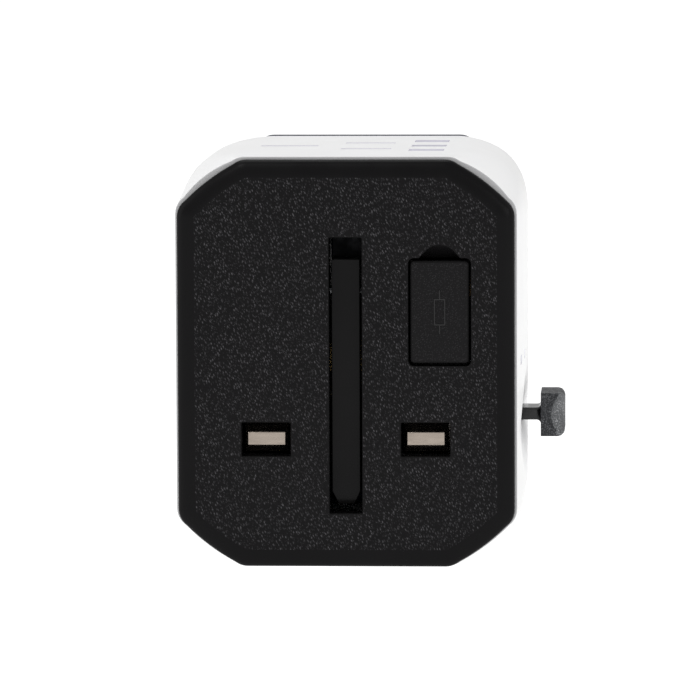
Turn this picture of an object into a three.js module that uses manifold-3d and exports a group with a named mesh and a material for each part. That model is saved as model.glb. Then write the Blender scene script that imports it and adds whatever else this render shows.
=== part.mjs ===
// Universal travel adapter: a white barrel sleeve between a black plug face and a dark socket face.
// Millimetres, +X right, +Y from the plug face to the socket face, +Z up, resting on the sleeve's flat.
import * as THREE from 'three';
import { mergeVertices } from 'three/addons/utils/BufferGeometryUtils.js';
import Module from 'manifold-3d';

const wasm = await Module();
wasm.setup();

// ---- Driving dimensions ----
const FACE_W = 47.0; // outline of both end caps
const FACE_H = 56.84;
const CHAMFER_X = 8.7; // corner chamfer of the caps, measured along X and along Z
const CHAMFER_Z = 6.55;
const CAP_BOW = 0.18; // how full the corner is at the caps: 0 is a straight chamfer, 1 is rounded
const BELLY_BOW = 0.9; // the same at mid-length
const BELLY_CORNER_Z = 9.5; // the corner's extent along Z at mid-length
const BELLY_SIDE = 1.0; // how far the sleeve's sides stand out at mid-length
const BELLY_TOP = 0.5; // the same for its top and bottom
const DEPTH = 62.0;
const FRONT = -DEPTH / 2; // plug face plane
const BACK = DEPTH / 2; // socket face plane
const CAP_SIDE = 2.0; // length of cap that shows beside the sleeve
const WALL = 2.0;
const FIT = 0.15; // gap between fitted mouldings
const CENTRE_Z = FACE_H / 2 + BELLY_TOP; // height of the body's centre line above the rest plane

const PIN_X = 11.115; // BS 1363: line and neutral pins 22.23 apart
const PIN_Z = -10.5; // their line, below the centre of the face
const PIN_W = 6.35;
const PIN_H = 4.0;
const PIN_OUT = 17.7; // how far they stand out in use
const PIN_RECESS = 1.3; // how far behind the face they park
const PIN_TRAVEL = PIN_OUT + PIN_RECESS;
const HOLE_W = 6.84;
const HOLE_H = 4.7;

const SLOT_W = 4.55; // the folding earth pin's slot
const SLOT_TOP = 17.66;
const SLOT_BOTTOM = -20.86;
const EARTH_W = 3.95;
const EARTH_PIVOT_Y = FRONT + 6.8;
const EARTH_PIVOT_Z = 9.8;
const EARTH_FRONT = 5.8; // from the pivot to the side that faces out when folded
const EARTH_REAR = 2.2;
const EARTH_BASE = 4.76; // from the pivot to the pin's root end
const EARTH_TIP = 29.54; // from the pivot to its tip

const FUSE_X = 13.1; // fuse drawer, centre of its cover
const FUSE_Z = 7.3;
const FUSE_COVER_W = 8.2;
const FUSE_COVER_H = 14.3;
const FUSE_PITCH = 6.4; // between the working fuse and the spare below it
const FUSE_R = 2.6; // 5 x 20 mm fuses
const FUSE_LENGTH = 20;
const FUSE_START = FRONT + 3.2;
const TRAY_LENGTH = 25.6;

const KNOB_Y = 6.0; // release knob, where the carriage parks
const KNOB_OUTER = 30.0; // its outer face
const STEM_H = 1.8;
const STEM_LENGTH = 6.0;

const SOCKET_Z = -13.0; // line of the socket's live and neutral apertures
const SOCKET_EARTH_Z = SOCKET_Z + 22.2;
const USB_X = 7.7;
const USB_Z = 20.4;
const USB_W = 13.1; // USB-A shell
const USB_H = 5.6;
const BOARD_Z = 23.6;

// ---- Solids ----
function toSolid(geometry) {
  const merged = geometry.index ? geometry.toNonIndexed() : geometry.clone();
  merged.deleteAttribute('normal');
  merged.deleteAttribute('uv');
  const welded = mergeVertices(merged, 1e-4);
  const mesh = new wasm.Mesh({
    numProp: 3,
    vertProperties: new Float32Array(welded.attributes.position.array),
    triVerts: new Uint32Array(welded.index.array),
  });
  return new wasm.Manifold(mesh);
}

function toGeometry(solid) {
  const mesh = solid.getMesh();
  const geometry = new THREE.BufferGeometry();
  geometry.setAttribute('position', new THREE.BufferAttribute(mesh.vertProperties, 3));
  geometry.setIndex(new THREE.BufferAttribute(mesh.triVerts, 1));
  return geometry;
}

// A box given by its lowest and highest corners.
function block(x0, x1, y0, y1, z0, z1) {
  const geometry = new THREE.BoxGeometry(x1 - x0, y1 - y0, z1 - z0);
  geometry.translate((x0 + x1) / 2, (y0 + y1) / 2, (z0 + z1) / 2);
  return toSolid(geometry);
}

// A box centred on x and z that runs from y0 to y1.
function bar(x, z, width, height, y0, y1) {
  return block(x - width / 2, x + width / 2, y0, y1, z - height / 2, z + height / 2);
}

function join(solids) {
  return solids.reduce((sum, next) => sum.add(next));
}

function cut(solid, tools) {
  return tools.reduce((rest, tool) => rest.subtract(tool), solid);
}

// A 2-D outline in X and Z, pushed along Y from y0 to y1.
function pushAlongY(points, y0, y1, curveSegments = 8) {
  const shape = points instanceof THREE.Shape ? points : new THREE.Shape(points);
  const geometry = new THREE.ExtrudeGeometry(shape, { depth: y1 - y0, bevelEnabled: false, curveSegments });
  geometry.rotateX(Math.PI / 2);
  geometry.translate(0, y1, 0);
  return toSolid(geometry);
}

// A 2-D outline in Y and Z, pushed along X from x0 to x1.
function pushAlongX(points, x0, x1) {
  const shape = new THREE.Shape(points);
  const geometry = new THREE.ExtrudeGeometry(shape, { depth: x1 - x0, bevelEnabled: false });
  geometry.rotateY(Math.PI / 2);
  geometry.rotateX(Math.PI / 2);
  geometry.translate(x0, 0, 0);
  return toSolid(geometry);
}

// A round bar along Y, X or Z.
function rod(radius, start, end, sides, place) {
  const geometry = new THREE.CylinderGeometry(radius, radius, end - start, sides);
  geometry.translate(0, (start + end) / 2, 0);
  if (place.along === 'x') geometry.rotateZ(-Math.PI / 2);
  if (place.along === 'z') geometry.rotateX(Math.PI / 2);
  geometry.translate(place.x ?? 0, place.y ?? 0, place.z ?? 0);
  return toSolid(geometry);
}

// ---- The body's outline ----
// Half width, half height, corner extent and corner fullness where the belly's swelling is level, from 0 to 1.
function sectionAt(level) {
  return {
    halfW: FACE_W / 2 + BELLY_SIDE * level,
    halfH: FACE_H / 2 + BELLY_TOP * level,
    cornerZ: CHAMFER_Z + (BELLY_CORNER_Z - CHAMFER_Z) * level,
    bow: CAP_BOW + (BELLY_BOW - CAP_BOW) * level,
  };
}

// An eight-sided outline whose four short sides are shallow curves.
function outline(section, inset = 0, curveSteps = 8) {
  const halfW = section.halfW - inset;
  const halfH = section.halfH - inset;
  const side = new THREE.Vector2(halfW, halfH - section.cornerZ + inset * 0.25);
  const end = new THREE.Vector2(halfW - CHAMFER_X + inset * 0.35, halfH);
  const pull = side.clone().add(end).multiplyScalar(0.5).lerp(new THREE.Vector2(halfW, halfH), section.bow);
  const corner = new THREE.QuadraticBezierCurve(side, pull, end).getPoints(curveSteps);
  const mirrored = corner.slice().reverse();
  return [
    ...corner,
    ...mirrored.map((point) => new THREE.Vector2(-point.x, point.y)),
    ...corner.map((point) => new THREE.Vector2(-point.x, -point.y)),
    ...mirrored.map((point) => new THREE.Vector2(point.x, -point.y)),
  ];
}

// A closed solid lofted through outlines at stations along Y.
function loft(stations) {
  const count = stations[0].points.length;
  const positions = [];
  const index = [];
  for (const station of stations) {
    for (const point of station.points) positions.push(point.x, station.y, point.y);
  }
  for (let ring = 0; ring < stations.length - 1; ring += 1) {
    for (let i = 0; i < count; i += 1) {
      const a = ring * count + i;
      const b = ring * count + ((i + 1) % count);
      index.push(a, a + count, b, b, a + count, b + count);
    }
  }
  const last = (stations.length - 1) * count;
  const front = THREE.ShapeUtils.triangulateShape(stations[0].points, []);
  for (const [a, b, c] of front) {
    index.push(a, b, c);
    index.push(last + a, last + c, last + b);
  }
  const geometry = new THREE.BufferGeometry();
  geometry.setAttribute('position', new THREE.Float32BufferAttribute(positions, 3));
  geometry.setIndex(index);
  return toSolid(geometry);
}

// How far the sleeve has swelled at y: nothing at its ends, all of it along a flat middle.
function swell(y) {
  const flat = 9;
  const reach = DEPTH / 2 - CAP_SIDE;
  const t = Math.max(0, (Math.abs(y) - flat) / (reach - flat));
  return 1 - t ** 1.8;
}

// ---- Casing ----
const SLEEVE_FRONT = FRONT + CAP_SIDE;
const SLEEVE_BACK = BACK - CAP_SIDE;
const KNOB_SLOT_Y0 = KNOB_Y - PIN_TRAVEL - STEM_LENGTH / 2 - 0.6;
const KNOB_SLOT_Y1 = KNOB_Y + STEM_LENGTH / 2 + 0.6;
const DISH_HALF_HEIGHT = 7.0;
const DISH_END = 9.0;
const DISH_DEPTH = 1.2;

function sleeveBody(inset) {
  const overrun = inset > 0 ? 1 : 0;
  const stops = [-1, -0.86, -0.7, -0.5, -0.31, 0.31, 0.5, 0.7, 0.86, 1];
  const reach = SLEEVE_BACK + overrun;
  const stations = stops.map((stop) => {
    const y = stop * reach;
    const level = Math.max(0, swell(Math.max(SLEEVE_FRONT, Math.min(SLEEVE_BACK, y))));
    return { y, points: outline(sectionAt(level), inset, 6) };
  });
  return loft(stations);
}

// A lens-shaped finger recess round the knob's slot, pointed at both ends.
function fingerRecess() {
  const y0 = KNOB_SLOT_Y0 - DISH_END;
  const y1 = KNOB_SLOT_Y1 + DISH_END;
  const points = [];
  const steps = 12;
  for (let i = 0; i < steps; i += 1) {
    const t = i / steps;
    points.push(new THREE.Vector2(y0 + (y1 - y0) * t, PIN_Z - DISH_HALF_HEIGHT * Math.sin(Math.PI * t)));
  }
  for (let i = 0; i < steps; i += 1) {
    const t = i / steps;
    points.push(new THREE.Vector2(y1 - (y1 - y0) * t, PIN_Z + DISH_HALF_HEIGHT * Math.sin(Math.PI * t)));
  }
  const face = FACE_W / 2 + BELLY_SIDE;
  return pushAlongX(points, face - DISH_DEPTH, face + 2);
}

function shellSleeve() {
  const slotHalf = STEM_H / 2 + 0.35;
  const slot = block(20, 30, KNOB_SLOT_Y0, KNOB_SLOT_Y1, PIN_Z - slotHalf, PIN_Z + slotHalf);
  return cut(sleeveBody(0), [sleeveBody(WALL), fingerRecess(), slot]);
}

// An end cap: a plate with a bevelled rim and a skirt that plugs into the sleeve.
const RIM_WIDTH = 2.0;
const RIM_DROP = 1.1;
const PLATE = 2.6;
const SKIRT_LENGTH = 4.0;

function capBody(outer, toward) {
  const section = sectionAt(0);
  const at = (distance) => outer + toward * distance;
  const stations = [
    { y: at(0), points: outline(section, RIM_WIDTH) },
    { y: at(RIM_DROP), points: outline(section, 0) },
    { y: at(CAP_SIDE - 0.1), points: outline(section, 0) },
    { y: at(CAP_SIDE - 0.1), points: outline(section, WALL + FIT) },
    { y: at(CAP_SIDE + SKIRT_LENGTH), points: outline(section, WALL + FIT) },
  ];
  const lower = loft(toward > 0 ? stations.slice(0, 3) : stations.slice(0, 3).reverse());
  const skirtStart = { y: at(0.5), points: stations[3].points };
  const upper = loft(toward > 0 ? [skirtStart, stations[4]] : [stations[4], skirtStart]);
  const hollowSection = outline(section, WALL + FIT + 1.5);
  const hollowEnds = [at(PLATE), at(CAP_SIDE + SKIRT_LENGTH + 1)].sort((a, b) => a - b);
  const hollow = loft(hollowEnds.map((y) => ({ y, points: hollowSection })));
  return lower.add(upper).subtract(hollow);
}

const SCREW_PLACES = [[-14.6, 18.4], [6.6, 20.6], [-14.6, -20.0], [14.6, -20.0]];
const NAIL_CHORD = 5.1;
const NAIL_HEIGHT = 1.8;

function plugFaceCover() {
  const opening = bar(FUSE_X, FUSE_Z, FUSE_COVER_W + 0.5, FUSE_COVER_H + 0.7, FRONT - 1, FRONT + PLATE + 1);
  const nailR = (NAIL_CHORD ** 2 / 4 + NAIL_HEIGHT ** 2) / (2 * NAIL_HEIGHT);
  const nailZ = FUSE_Z + FUSE_COVER_H / 2 + 0.35 + NAIL_HEIGHT - nailR;
  const nail = rod(nailR, FRONT - 1, FRONT + 1.6, 24, { x: FUSE_X, z: nailZ });
  const tools = [opening, nail];
  for (const side of [-1, 1]) {
    tools.push(bar(side * PIN_X, PIN_Z, HOLE_W, HOLE_H, FRONT - 1, FRONT + PLATE + 1));
  }
  tools.push(block(-SLOT_W / 2, SLOT_W / 2, FRONT - 1, FRONT + PLATE + 1, SLOT_BOTTOM, SLOT_TOP));
  for (const [x, z] of SCREW_PLACES) {
    tools.push(rod(0.85, FRONT + 1.0, FRONT + PLATE + 1, 12, { x, z }));
  }
  return cut(capBody(FRONT, 1), tools);
}

// One side's aperture: British, European, American and Australian pins share it.
function socketAperture(side, y0, y1) {
  const british = bar(side * 11.1, SOCKET_Z, 7.4, 4.9, y0, y1);
  const european = rod(2.7, y0, y1, 20, { x: side * 9.5, z: SOCKET_Z });
  const american = bar(side * 6.4, SOCKET_Z, 2.3, 7.8, y0, y1);
  const blade = new THREE.BoxGeometry(2.2, y1 - y0, 8.4);
  blade.rotateY(side * -Math.PI / 6);
  blade.translate(side * 8.2, (y0 + y1) / 2, SOCKET_Z + 0.6);
  return join([british, european, american, toSolid(blade)]);
}

const COLLAR = 4.6; // depth of the guide collars behind the socket apertures
const CARRIER_FRONT = 24; // front of the contact carrier, behind the shutter
const SPRING_X = 7; // the shutter's two return springs
const SPRING_TOP = 13.0;
const CARRIER_SCREW_X = 18.6;
const CARRIER_SCREW_Z = SOCKET_Z + 8.4;

function socketFaceCover() {
  const inner = BACK - COLLAR;
  const plateBack = BACK - PLATE + 0.2;
  const collars = [-1, 1].map((side) => bar(side * 9.8, SOCKET_Z + 0.3, 12.4, 11.2, inner, plateBack));
  const earthCollar = bar(0, SOCKET_EARTH_Z, 8, 12, inner, plateBack);
  const bosses = [-1, 1].map((side) =>
    bar(side * CARRIER_SCREW_X, CARRIER_SCREW_Z, 4, 4, CARRIER_FRONT + 0.2, plateBack));
  const seatZ = SPRING_TOP + 0.9;
  const seats = [-1, 1].map((side) => bar(side * SPRING_X, seatZ, 4, 1.4, CARRIER_FRONT, plateBack));
  const body = join([capBody(BACK, -1), ...collars, earthCollar, ...bosses, ...seats]);
  const tools = [-1, 1].map((side) => socketAperture(side, inner - 1, BACK + 1));
  tools.push(bar(0, SOCKET_EARTH_Z, 5.2, 9.0, inner - 1, BACK + 1));
  for (const side of [-1, 1]) {
    tools.push(bar(side * USB_X, USB_Z, USB_W + 0.4, USB_H + 0.4, BACK - PLATE - 1, BACK + 1));
    tools.push(rod(0.85, CARRIER_FRONT, BACK - 1.2, 12, { x: side * CARRIER_SCREW_X, z: CARRIER_SCREW_Z }));
  }
  tools.push(rod(1.2, BACK - PLATE - 1, BACK + 1, 16, { x: 17.4, z: 13.5 }));
  return cut(body, tools);
}

// ---- Plug housing: guides for the pins, cheeks for the earth pin and a tunnel for the fuse drawer ----
const HOUSING_FRONT = FRONT + PLATE + 0.15;
const HOUSING_PLATE = 1.6;
const CHEEK_IN = 2.6;
const CHEEK_OUT = 4.4;
const TUNNEL_BACK = FRONT + 27.2;

function plugHousing() {
  const plateBack = HOUSING_FRONT + HOUSING_PLATE;
  const plateOutline = outline(sectionAt(0), WALL + FIT + 1.9);
  const solids = [loft([HOUSING_FRONT, plateBack].map((y) => ({ y, points: plateOutline })))];
  for (const side of [-1, 1]) {
    const cheekX = side * (CHEEK_IN + CHEEK_OUT) / 2;
    solids.push(bar(cheekX, 10.4, CHEEK_OUT - CHEEK_IN, 15.2, HOUSING_FRONT, FRONT + 13));
  }
  const tunnel = bar(FUSE_X, FUSE_Z, FUSE_COVER_W + 3.0, FUSE_COVER_H + 3.0, HOUSING_FRONT, TUNNEL_BACK);
  // Rails under and beside the carriage run the length of its travel.
  const rails = [-1, 1].map((side) => block(
    Math.min(side * 17.2, side * 19.2), Math.max(side * 17.2, side * 19.2), HOUSING_FRONT, 10, -18.2, -14.9));
  const body = join([...solids, tunnel, ...rails]);
  const tools = [bar(FUSE_X, FUSE_Z, FUSE_COVER_W + 0.6, FUSE_COVER_H + 0.6, FRONT, TUNNEL_BACK + 1)];
  for (const side of [-1, 1]) {
    tools.push(bar(side * PIN_X, PIN_Z, HOLE_W + 0.2, HOLE_H + 0.2, FRONT, plateBack + 1));
    tools.push(rod(0.75, Math.min(side * 4.9, side * 2), Math.max(side * 4.9, side * 2), 12,
      { along: 'x', y: EARTH_PIVOT_Y, z: EARTH_PIVOT_Z }));
  }
  tools.push(block(-CHEEK_IN + 0.1, CHEEK_IN - 0.1, FRONT, plateBack + 1, SLOT_BOTTOM - 0.2, 18.2));
  // A window lets the working fuse's front cap touch its contact.
  tools.push(block(FUSE_X + 3, FUSE_X + 7, FUSE_START - 0.2, FUSE_START + 5.6, FUSE_Z + 0.8, FUSE_Z + 5.6));
  for (const [x, z] of SCREW_PLACES) tools.push(rod(1.15, FRONT, plateBack + 1, 12, { x, z }));
  return cut(body, tools);
}

// A small cross-head screw lying along Y; toward says which way its point looks.
const SCREW_HEAD = 1.2;

function screw(x, z, seat, toward, length) {
  const slotY = seat - toward * SCREW_HEAD;
  const point = seat + toward * length;
  const head = rod(1.9, Math.min(seat, slotY), Math.max(seat, slotY), 16, { x, z });
  const shank = rod(0.78, Math.min(seat, point), Math.max(seat, point), 12, { x, z });
  const cross = [[2.4, 0.5], [0.5, 2.4]].map(([w, h]) => bar(x, z, w, h, slotY - 0.5, slotY + 0.5));
  return cut(head.add(shank), cross);
}

// ---- Live and neutral pins on their carriage ----
const CARRIAGE_FRONT = -7.4;
const CARRIAGE_BACK = 8;
const CARRIAGE_HALF = 16.2;
const PIN_TIP = FRONT + PIN_RECESS;
const PIN_TAIL = CARRIAGE_BACK - 2.2;
const SLEEVING_FRONT = PIN_TIP + PIN_OUT - 9.0;

// A rectangular pin with a chamfered tip and a waist where the insulating sleeve sits.
function contactPin(side) {
  const x = side * PIN_X;
  const tip = [
    { y: PIN_TIP, w: PIN_W - 1.05, h: PIN_H - 2.15 },
    { y: PIN_TIP + 1.9, w: PIN_W - 0.2, h: PIN_H - 0.2 },
    { y: PIN_TIP + 2.3, w: PIN_W, h: PIN_H },
    { y: SLEEVING_FRONT, w: PIN_W, h: PIN_H },
  ].map(({ y, w, h }) => ({
    y,
    points: [[1, -1], [1, 1], [-1, 1], [-1, -1]].map(([sx, sz]) =>
      new THREE.Vector2(x + sx * w / 2, PIN_Z + sz * h / 2)),
  }));
  const waist = bar(x, PIN_Z, PIN_W - 1.4, PIN_H - 1.4, SLEEVING_FRONT - 0.5, PIN_TAIL);
  return loft(tip).add(waist);
}

function pinSleeve(side) {
  const x = side * PIN_X;
  const outer = bar(x, PIN_Z, PIN_W, PIN_H, SLEEVING_FRONT + 0.05, CARRIAGE_FRONT - 0.1);
  return outer.subtract(bar(x, PIN_Z, PIN_W - 1.3, PIN_H - 1.3, SLEEVING_FRONT - 1, CARRIAGE_FRONT + 1));
}

function pinCarriage() {
  const body = bar(0, PIN_Z, CARRIAGE_HALF * 2, 7.6, CARRIAGE_FRONT, CARRIAGE_BACK);
  const tools = [];
  for (const side of [-1, 1]) {
    tools.push(bar(side * PIN_X, PIN_Z, PIN_W - 1.3, PIN_H - 1.3, CARRIAGE_FRONT - 1, PIN_TAIL + 0.1));
    // A window below the pin lets its wiper reach the rail.
    tools.push(block(side * PIN_X - 2.2, side * PIN_X + 2.2, -1, 5.4, PIN_Z - 5, PIN_Z - 1.2));
  }
  // Clearance for the folded earth pin when the carriage is forward.
  tools.push(bar(0, PIN_Z, 2 * CHEEK_IN + 0.6, 10, CARRIAGE_FRONT - 1, CARRIAGE_FRONT + 6.6));
  // A pocket on the right takes the release knob's foot and spring.
  tools.push(block(8.2, CARRIAGE_HALF + 1, KNOB_Y - 3.6, KNOB_Y + 0.9, PIN_Z + 2.2, PIN_Z + 5));
  const flank = CARRIAGE_HALF - 1;
  tools.push(block(flank, CARRIAGE_HALF + 1, KNOB_Y - 3.6, KNOB_Y + 3.6, PIN_Z - 1.6, PIN_Z + 5));
  return cut(body, tools);
}

function wiper(side) {
  const x = side * PIN_X;
  const points = [[-0.6, -1.45], [5.0, -1.45], [5.0, -1.95], [1.2, -1.95], [-0.1, -4.9], [-0.7, -4.9],
    [0.3, -1.95], [-0.6, -1.95]].map(([y, z]) => new THREE.Vector2(y, PIN_Z + z));
  return pushAlongX(points, x - 1.8, x + 1.8);
}

// ---- Release knob: pressed in towards the body, then slid with the carriage ----
const FOOT_X = 15.6;

function releaseKnob() {
  const headIn = KNOB_OUTER - 3.5;
  const halfLength = 4.2;
  const head = [[headIn, -3.35], [headIn + 2.2, -3.35], [KNOB_OUTER, -2.3], [KNOB_OUTER, 2.3],
    [headIn + 2.2, 3.35], [headIn, 3.35]].map(([x, z]) => new THREE.Vector2(x, PIN_Z + z));
  const cap = pushAlongY(head, KNOB_Y - halfLength, KNOB_Y + halfLength);
  const stem = block(20, headIn + 0.5, KNOB_Y - STEM_LENGTH / 2, KNOB_Y + STEM_LENGTH / 2,
    PIN_Z - STEM_H / 2, PIN_Z + STEM_H / 2);
  const shoulder = block(18.6, 20.2, KNOB_Y - 3.3, KNOB_Y + 3.3, PIN_Z - 1.4, PIN_Z + 4.4);
  const finger = block(FOOT_X, 20.2, KNOB_Y - 3.2, KNOB_Y + 0.5, PIN_Z + 2.4, PIN_Z + 4.4);
  return join([cap, stem, shoulder, finger]);
}

// A round-wire compression spring along its own Z axis.
function springGeometry(radius, wire, length, turns) {
  class Coil extends THREE.Curve {
    getPoint(t, target = new THREE.Vector3()) {
      const angle = t * turns * Math.PI * 2;
      return target.set(radius * Math.cos(angle), radius * Math.sin(angle), t * length);
    }
  }
  const section = new THREE.Shape();
  section.absarc(0, 0, wire / 2, 0, Math.PI * 2, false);
  return new THREE.ExtrudeGeometry(section, {
    steps: Math.round(turns * 10), extrudePath: new Coil(), bevelEnabled: false, curveSegments: 3,
  });
}

// ---- Folding earth pin ----
function earthPin() {
  const tip = -EARTH_TIP;
  const side = [[-EARTH_FRONT, EARTH_BASE], [-EARTH_FRONT, tip + 1.9], [-EARTH_FRONT + 1.0, tip],
    [EARTH_REAR - 1.0, tip], [EARTH_REAR, tip + 1.9], [EARTH_REAR, 2.4], [EARTH_REAR - 0.7, EARTH_BASE - 0.8],
    [0.6, EARTH_BASE]].map(([y, z]) => new THREE.Vector2(EARTH_PIVOT_Y + y, EARTH_PIVOT_Z + z));
  const body = pushAlongX(side, -EARTH_W / 2, EARTH_W / 2);
  const front = EARTH_PIVOT_Z + tip;
  const taper = [[-EARTH_W / 2 - 1, front - 1], [EARTH_W / 2 + 1, front - 1], [EARTH_W / 2 + 1, front + 1.9],
    [EARTH_W / 2, front + 1.9], [1.1, front], [-1.1, front], [-EARTH_W / 2, front + 1.9],
    [-EARTH_W / 2 - 1, front + 1.9]].map(([x, z]) => new THREE.Vector2(x, z));
  const bore = rod(0.75, -4, 4, 12, { along: 'x', y: EARTH_PIVOT_Y, z: EARTH_PIVOT_Z });
  return cut(body, [pushAlongY(taper, FRONT - 5, FRONT + 15), bore]);
}

function earthAxle() {
  return rod(0.68, -4.7, 4.7, 12, { along: 'x', y: EARTH_PIVOT_Y, z: EARTH_PIVOT_Z });
}

// A bent leaf behind the pin's root holds it folded or out.
function detentSpring() {
  const points = [[12.3, 17.6], [12.8, 17.6], [12.8, 3.6], [12.2, 0.4], [11.7, 0.4], [12.3, 3.8]]
    .map(([y, z]) => new THREE.Vector2(FRONT + y, z));
  return pushAlongX(points, -2.4, 2.4);
}

// ---- Fuse drawer ----
const ACTIVE_Z = FUSE_Z + FUSE_PITCH / 2;
const SPARE_Z = FUSE_Z - FUSE_PITCH / 2;

function fuseDrawer() {
  const cover = bar(FUSE_X, FUSE_Z, FUSE_COVER_W, FUSE_COVER_H, FRONT, FRONT + 1.8);
  const tray = bar(FUSE_X, FUSE_Z, FUSE_COVER_W - 0.2, FUSE_COVER_H - 0.3, FRONT + 1.5, FRONT + TRAY_LENGTH);
  const tools = [ACTIVE_Z, SPARE_Z].map((z) =>
    block(FUSE_X - FUSE_R - 0.35, FUSE_X + 5, FUSE_START - 0.3, FUSE_START + FUSE_LENGTH + 0.3,
      z - FUSE_R - 0.2, z + FUSE_R + 0.2));
  // A slot in the rear wall lets both contacts reach the working fuse as the drawer slides.
  const trayEnd = FRONT + TRAY_LENGTH + 1;
  tools.push(block(FUSE_X - 1.7, FUSE_X + 5, FUSE_START + 10, trayEnd, ACTIVE_Z - 1.7, ACTIVE_Z + 1.7));
  return cut(cover.add(tray), tools);
}

const FUSE_CAP = 5.0;

function fuseTube(z) {
  return rod(FUSE_R - 0.2, FUSE_START + FUSE_CAP + 0.05, FUSE_START + FUSE_LENGTH - FUSE_CAP - 0.05, 18,
    { x: FUSE_X, z });
}

function fuseCap(z, start) {
  return rod(FUSE_R, start, start + FUSE_CAP, 18, { x: FUSE_X, z });
}

// ---- Current path ----
const RAIL_TOP = PIN_Z - 5.0;
const RAIL = 0.8;

// The live rail runs under the carriage, rises behind it and crosses to the fuse's rear cap.
function liveRail() {
  const x0 = -PIN_X - 2;
  const x1 = -PIN_X + 2;
  const rail = block(x0, x1, -22, 10.6, RAIL_TOP - RAIL, RAIL_TOP);
  const riser = block(x0, x1, 10.6 - RAIL, 10.6, RAIL_TOP - RAIL, -1);
  const crossing = block(x0, FUSE_X + 3, 10.6 - RAIL, 10.6, -5, -1);
  const post = block(FUSE_X - 2, FUSE_X + 2, 10.6 - RAIL, 10.6, -5, ACTIVE_Z + 1.4);
  const fuseEnd = FUSE_START + FUSE_LENGTH + 0.15;
  const finger = block(FUSE_X - 1.4, FUSE_X + 1.4, fuseEnd, 10.6, ACTIVE_Z, ACTIVE_Z + RAIL);
  return join([rail, riser, crossing, post, finger]);
}

// The strip from the working fuse's front cap runs back beside the drawer and across to the live contact.
function fuseStrip() {
  const x0 = FUSE_X + 6.0;
  const low = ACTIVE_Z - 1.4;
  const high = ACTIVE_Z + 1.4;
  const side = block(x0, x0 + 0.7, FUSE_START, 13.2, low, high);
  const touch = block(FUSE_X + FUSE_R + 0.15, x0 + 0.3, FUSE_START + 1.6, FUSE_START + 3.6, low, high);
  const drop = block(x0 - 1.6, x0 + 0.7, 12.5, 13.2, -4.6, high);
  const crossing = block(-PIN_X, x0 + 0.7, 12.5, 13.2, -5, -1);
  const tail = block(-PIN_X, -PIN_X + 4, 12.5, 13.2, SOCKET_Z + 3.4, -1);
  return join([side, touch, drop, crossing, tail]);
}

const CLIP_BACK = 14;
const CLIP_FRONT = 23.6;
const CLIP_HALF = 5.0;
const CLIP_GAP = 2.9;
const CLIP_SHEET = 0.6;
const CLIP_X = 10;

// A socket contact: two sprung leaves above and below the pin, joined behind it.
function socketClip(side) {
  const x = side * CLIP_X;
  const leaves = [-1, 1].map((up) =>
    bar(x, SOCKET_Z + up * (CLIP_GAP + CLIP_SHEET / 2), 2 * CLIP_HALF, CLIP_SHEET, CLIP_BACK, CLIP_FRONT));
  const web = bar(x, SOCKET_Z, 2 * CLIP_HALF, 2 * (CLIP_GAP + CLIP_SHEET), CLIP_BACK, CLIP_BACK + CLIP_SHEET);
  return join([...leaves, web]);
}

function neutralContact() {
  const rail = block(PIN_X - 2, PIN_X + 2, -22, CLIP_BACK + 1, RAIL_TOP - RAIL, RAIL_TOP);
  return socketClip(1).add(rail);
}

// The moulded carrier round both socket contacts, with ears for its screws.
function contactCarrier() {
  const body = block(-17, 17, 13.6, CARRIER_FRONT, SOCKET_Z - 5.2, SOCKET_Z + 5.2);
  const ears = [-1, 1].map((side) => bar(side * 18, SOCKET_Z + 7.2, 4.4, 10.4, 21.4, CARRIER_FRONT));
  const tools = [-1, 1].map((side) =>
    bar(side * CLIP_X, SOCKET_Z, 2 * CLIP_HALF + 0.6, 2 * (CLIP_GAP + CLIP_SHEET) + 0.6, 13, 25));
  for (const side of [-1, 1]) {
    const place = { x: side * CARRIER_SCREW_X, z: CARRIER_SCREW_Z };
    tools.push(rod(1.0, 20, 25, 12, place));
  }
  return cut(join([body, ...ears]), tools);
}

// ---- Socket shutter: two flaps on a yoke, lifted by the plug's pins ----
function shutter() {
  const flaps = [-1, 1].map((side) => bar(side * 10, SOCKET_Z + 0.3, 11.4, 10.4, 24.3, 26.1));
  const bridge = bar(0, SOCKET_Z + 3.4, 12, 3.2, 24.3, 26.1);
  return join([...flaps, bridge]);
}

// ---- USB charger ----
function usbShell(side) {
  const x = side * USB_X;
  const outer = bar(x, USB_Z, USB_W, USB_H, 16.4, BACK - 0.4);
  return outer.subtract(bar(x, USB_Z, USB_W - 0.8, USB_H - 0.8, 17.2, BACK + 1));
}

function usbTongue(side) {
  const x = side * USB_X;
  return bar(x, USB_Z + 0.9, 11.1, 1.9, 21, BACK - 1.2).add(bar(x, USB_Z, 12.1, 4.6, 17.4, 21.5));
}

function capacitor(x, y, radius, height) {
  return rod(radius, BOARD_Z - 0.1 - height, BOARD_Z - 0.1, 20, { along: 'z', x, y });
}

// ---- Wires from the current path to the charger board ----
function wireGeometry(points) {
  const section = new THREE.Shape();
  section.absarc(0, 0, 0.5, 0, Math.PI * 2, false);
  const path = new THREE.CatmullRomCurve3(points.map(([x, y, z]) => new THREE.Vector3(x, y, z)));
  const options = { steps: 18, extrudePath: path, bevelEnabled: false, curveSegments: 4 };
  return new THREE.ExtrudeGeometry(section, options);
}

// ---- Assembly ----
const part = new THREE.Group();
part.name = 'universal_travel_adapter';
part.position.z = CENTRE_Z;

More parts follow.
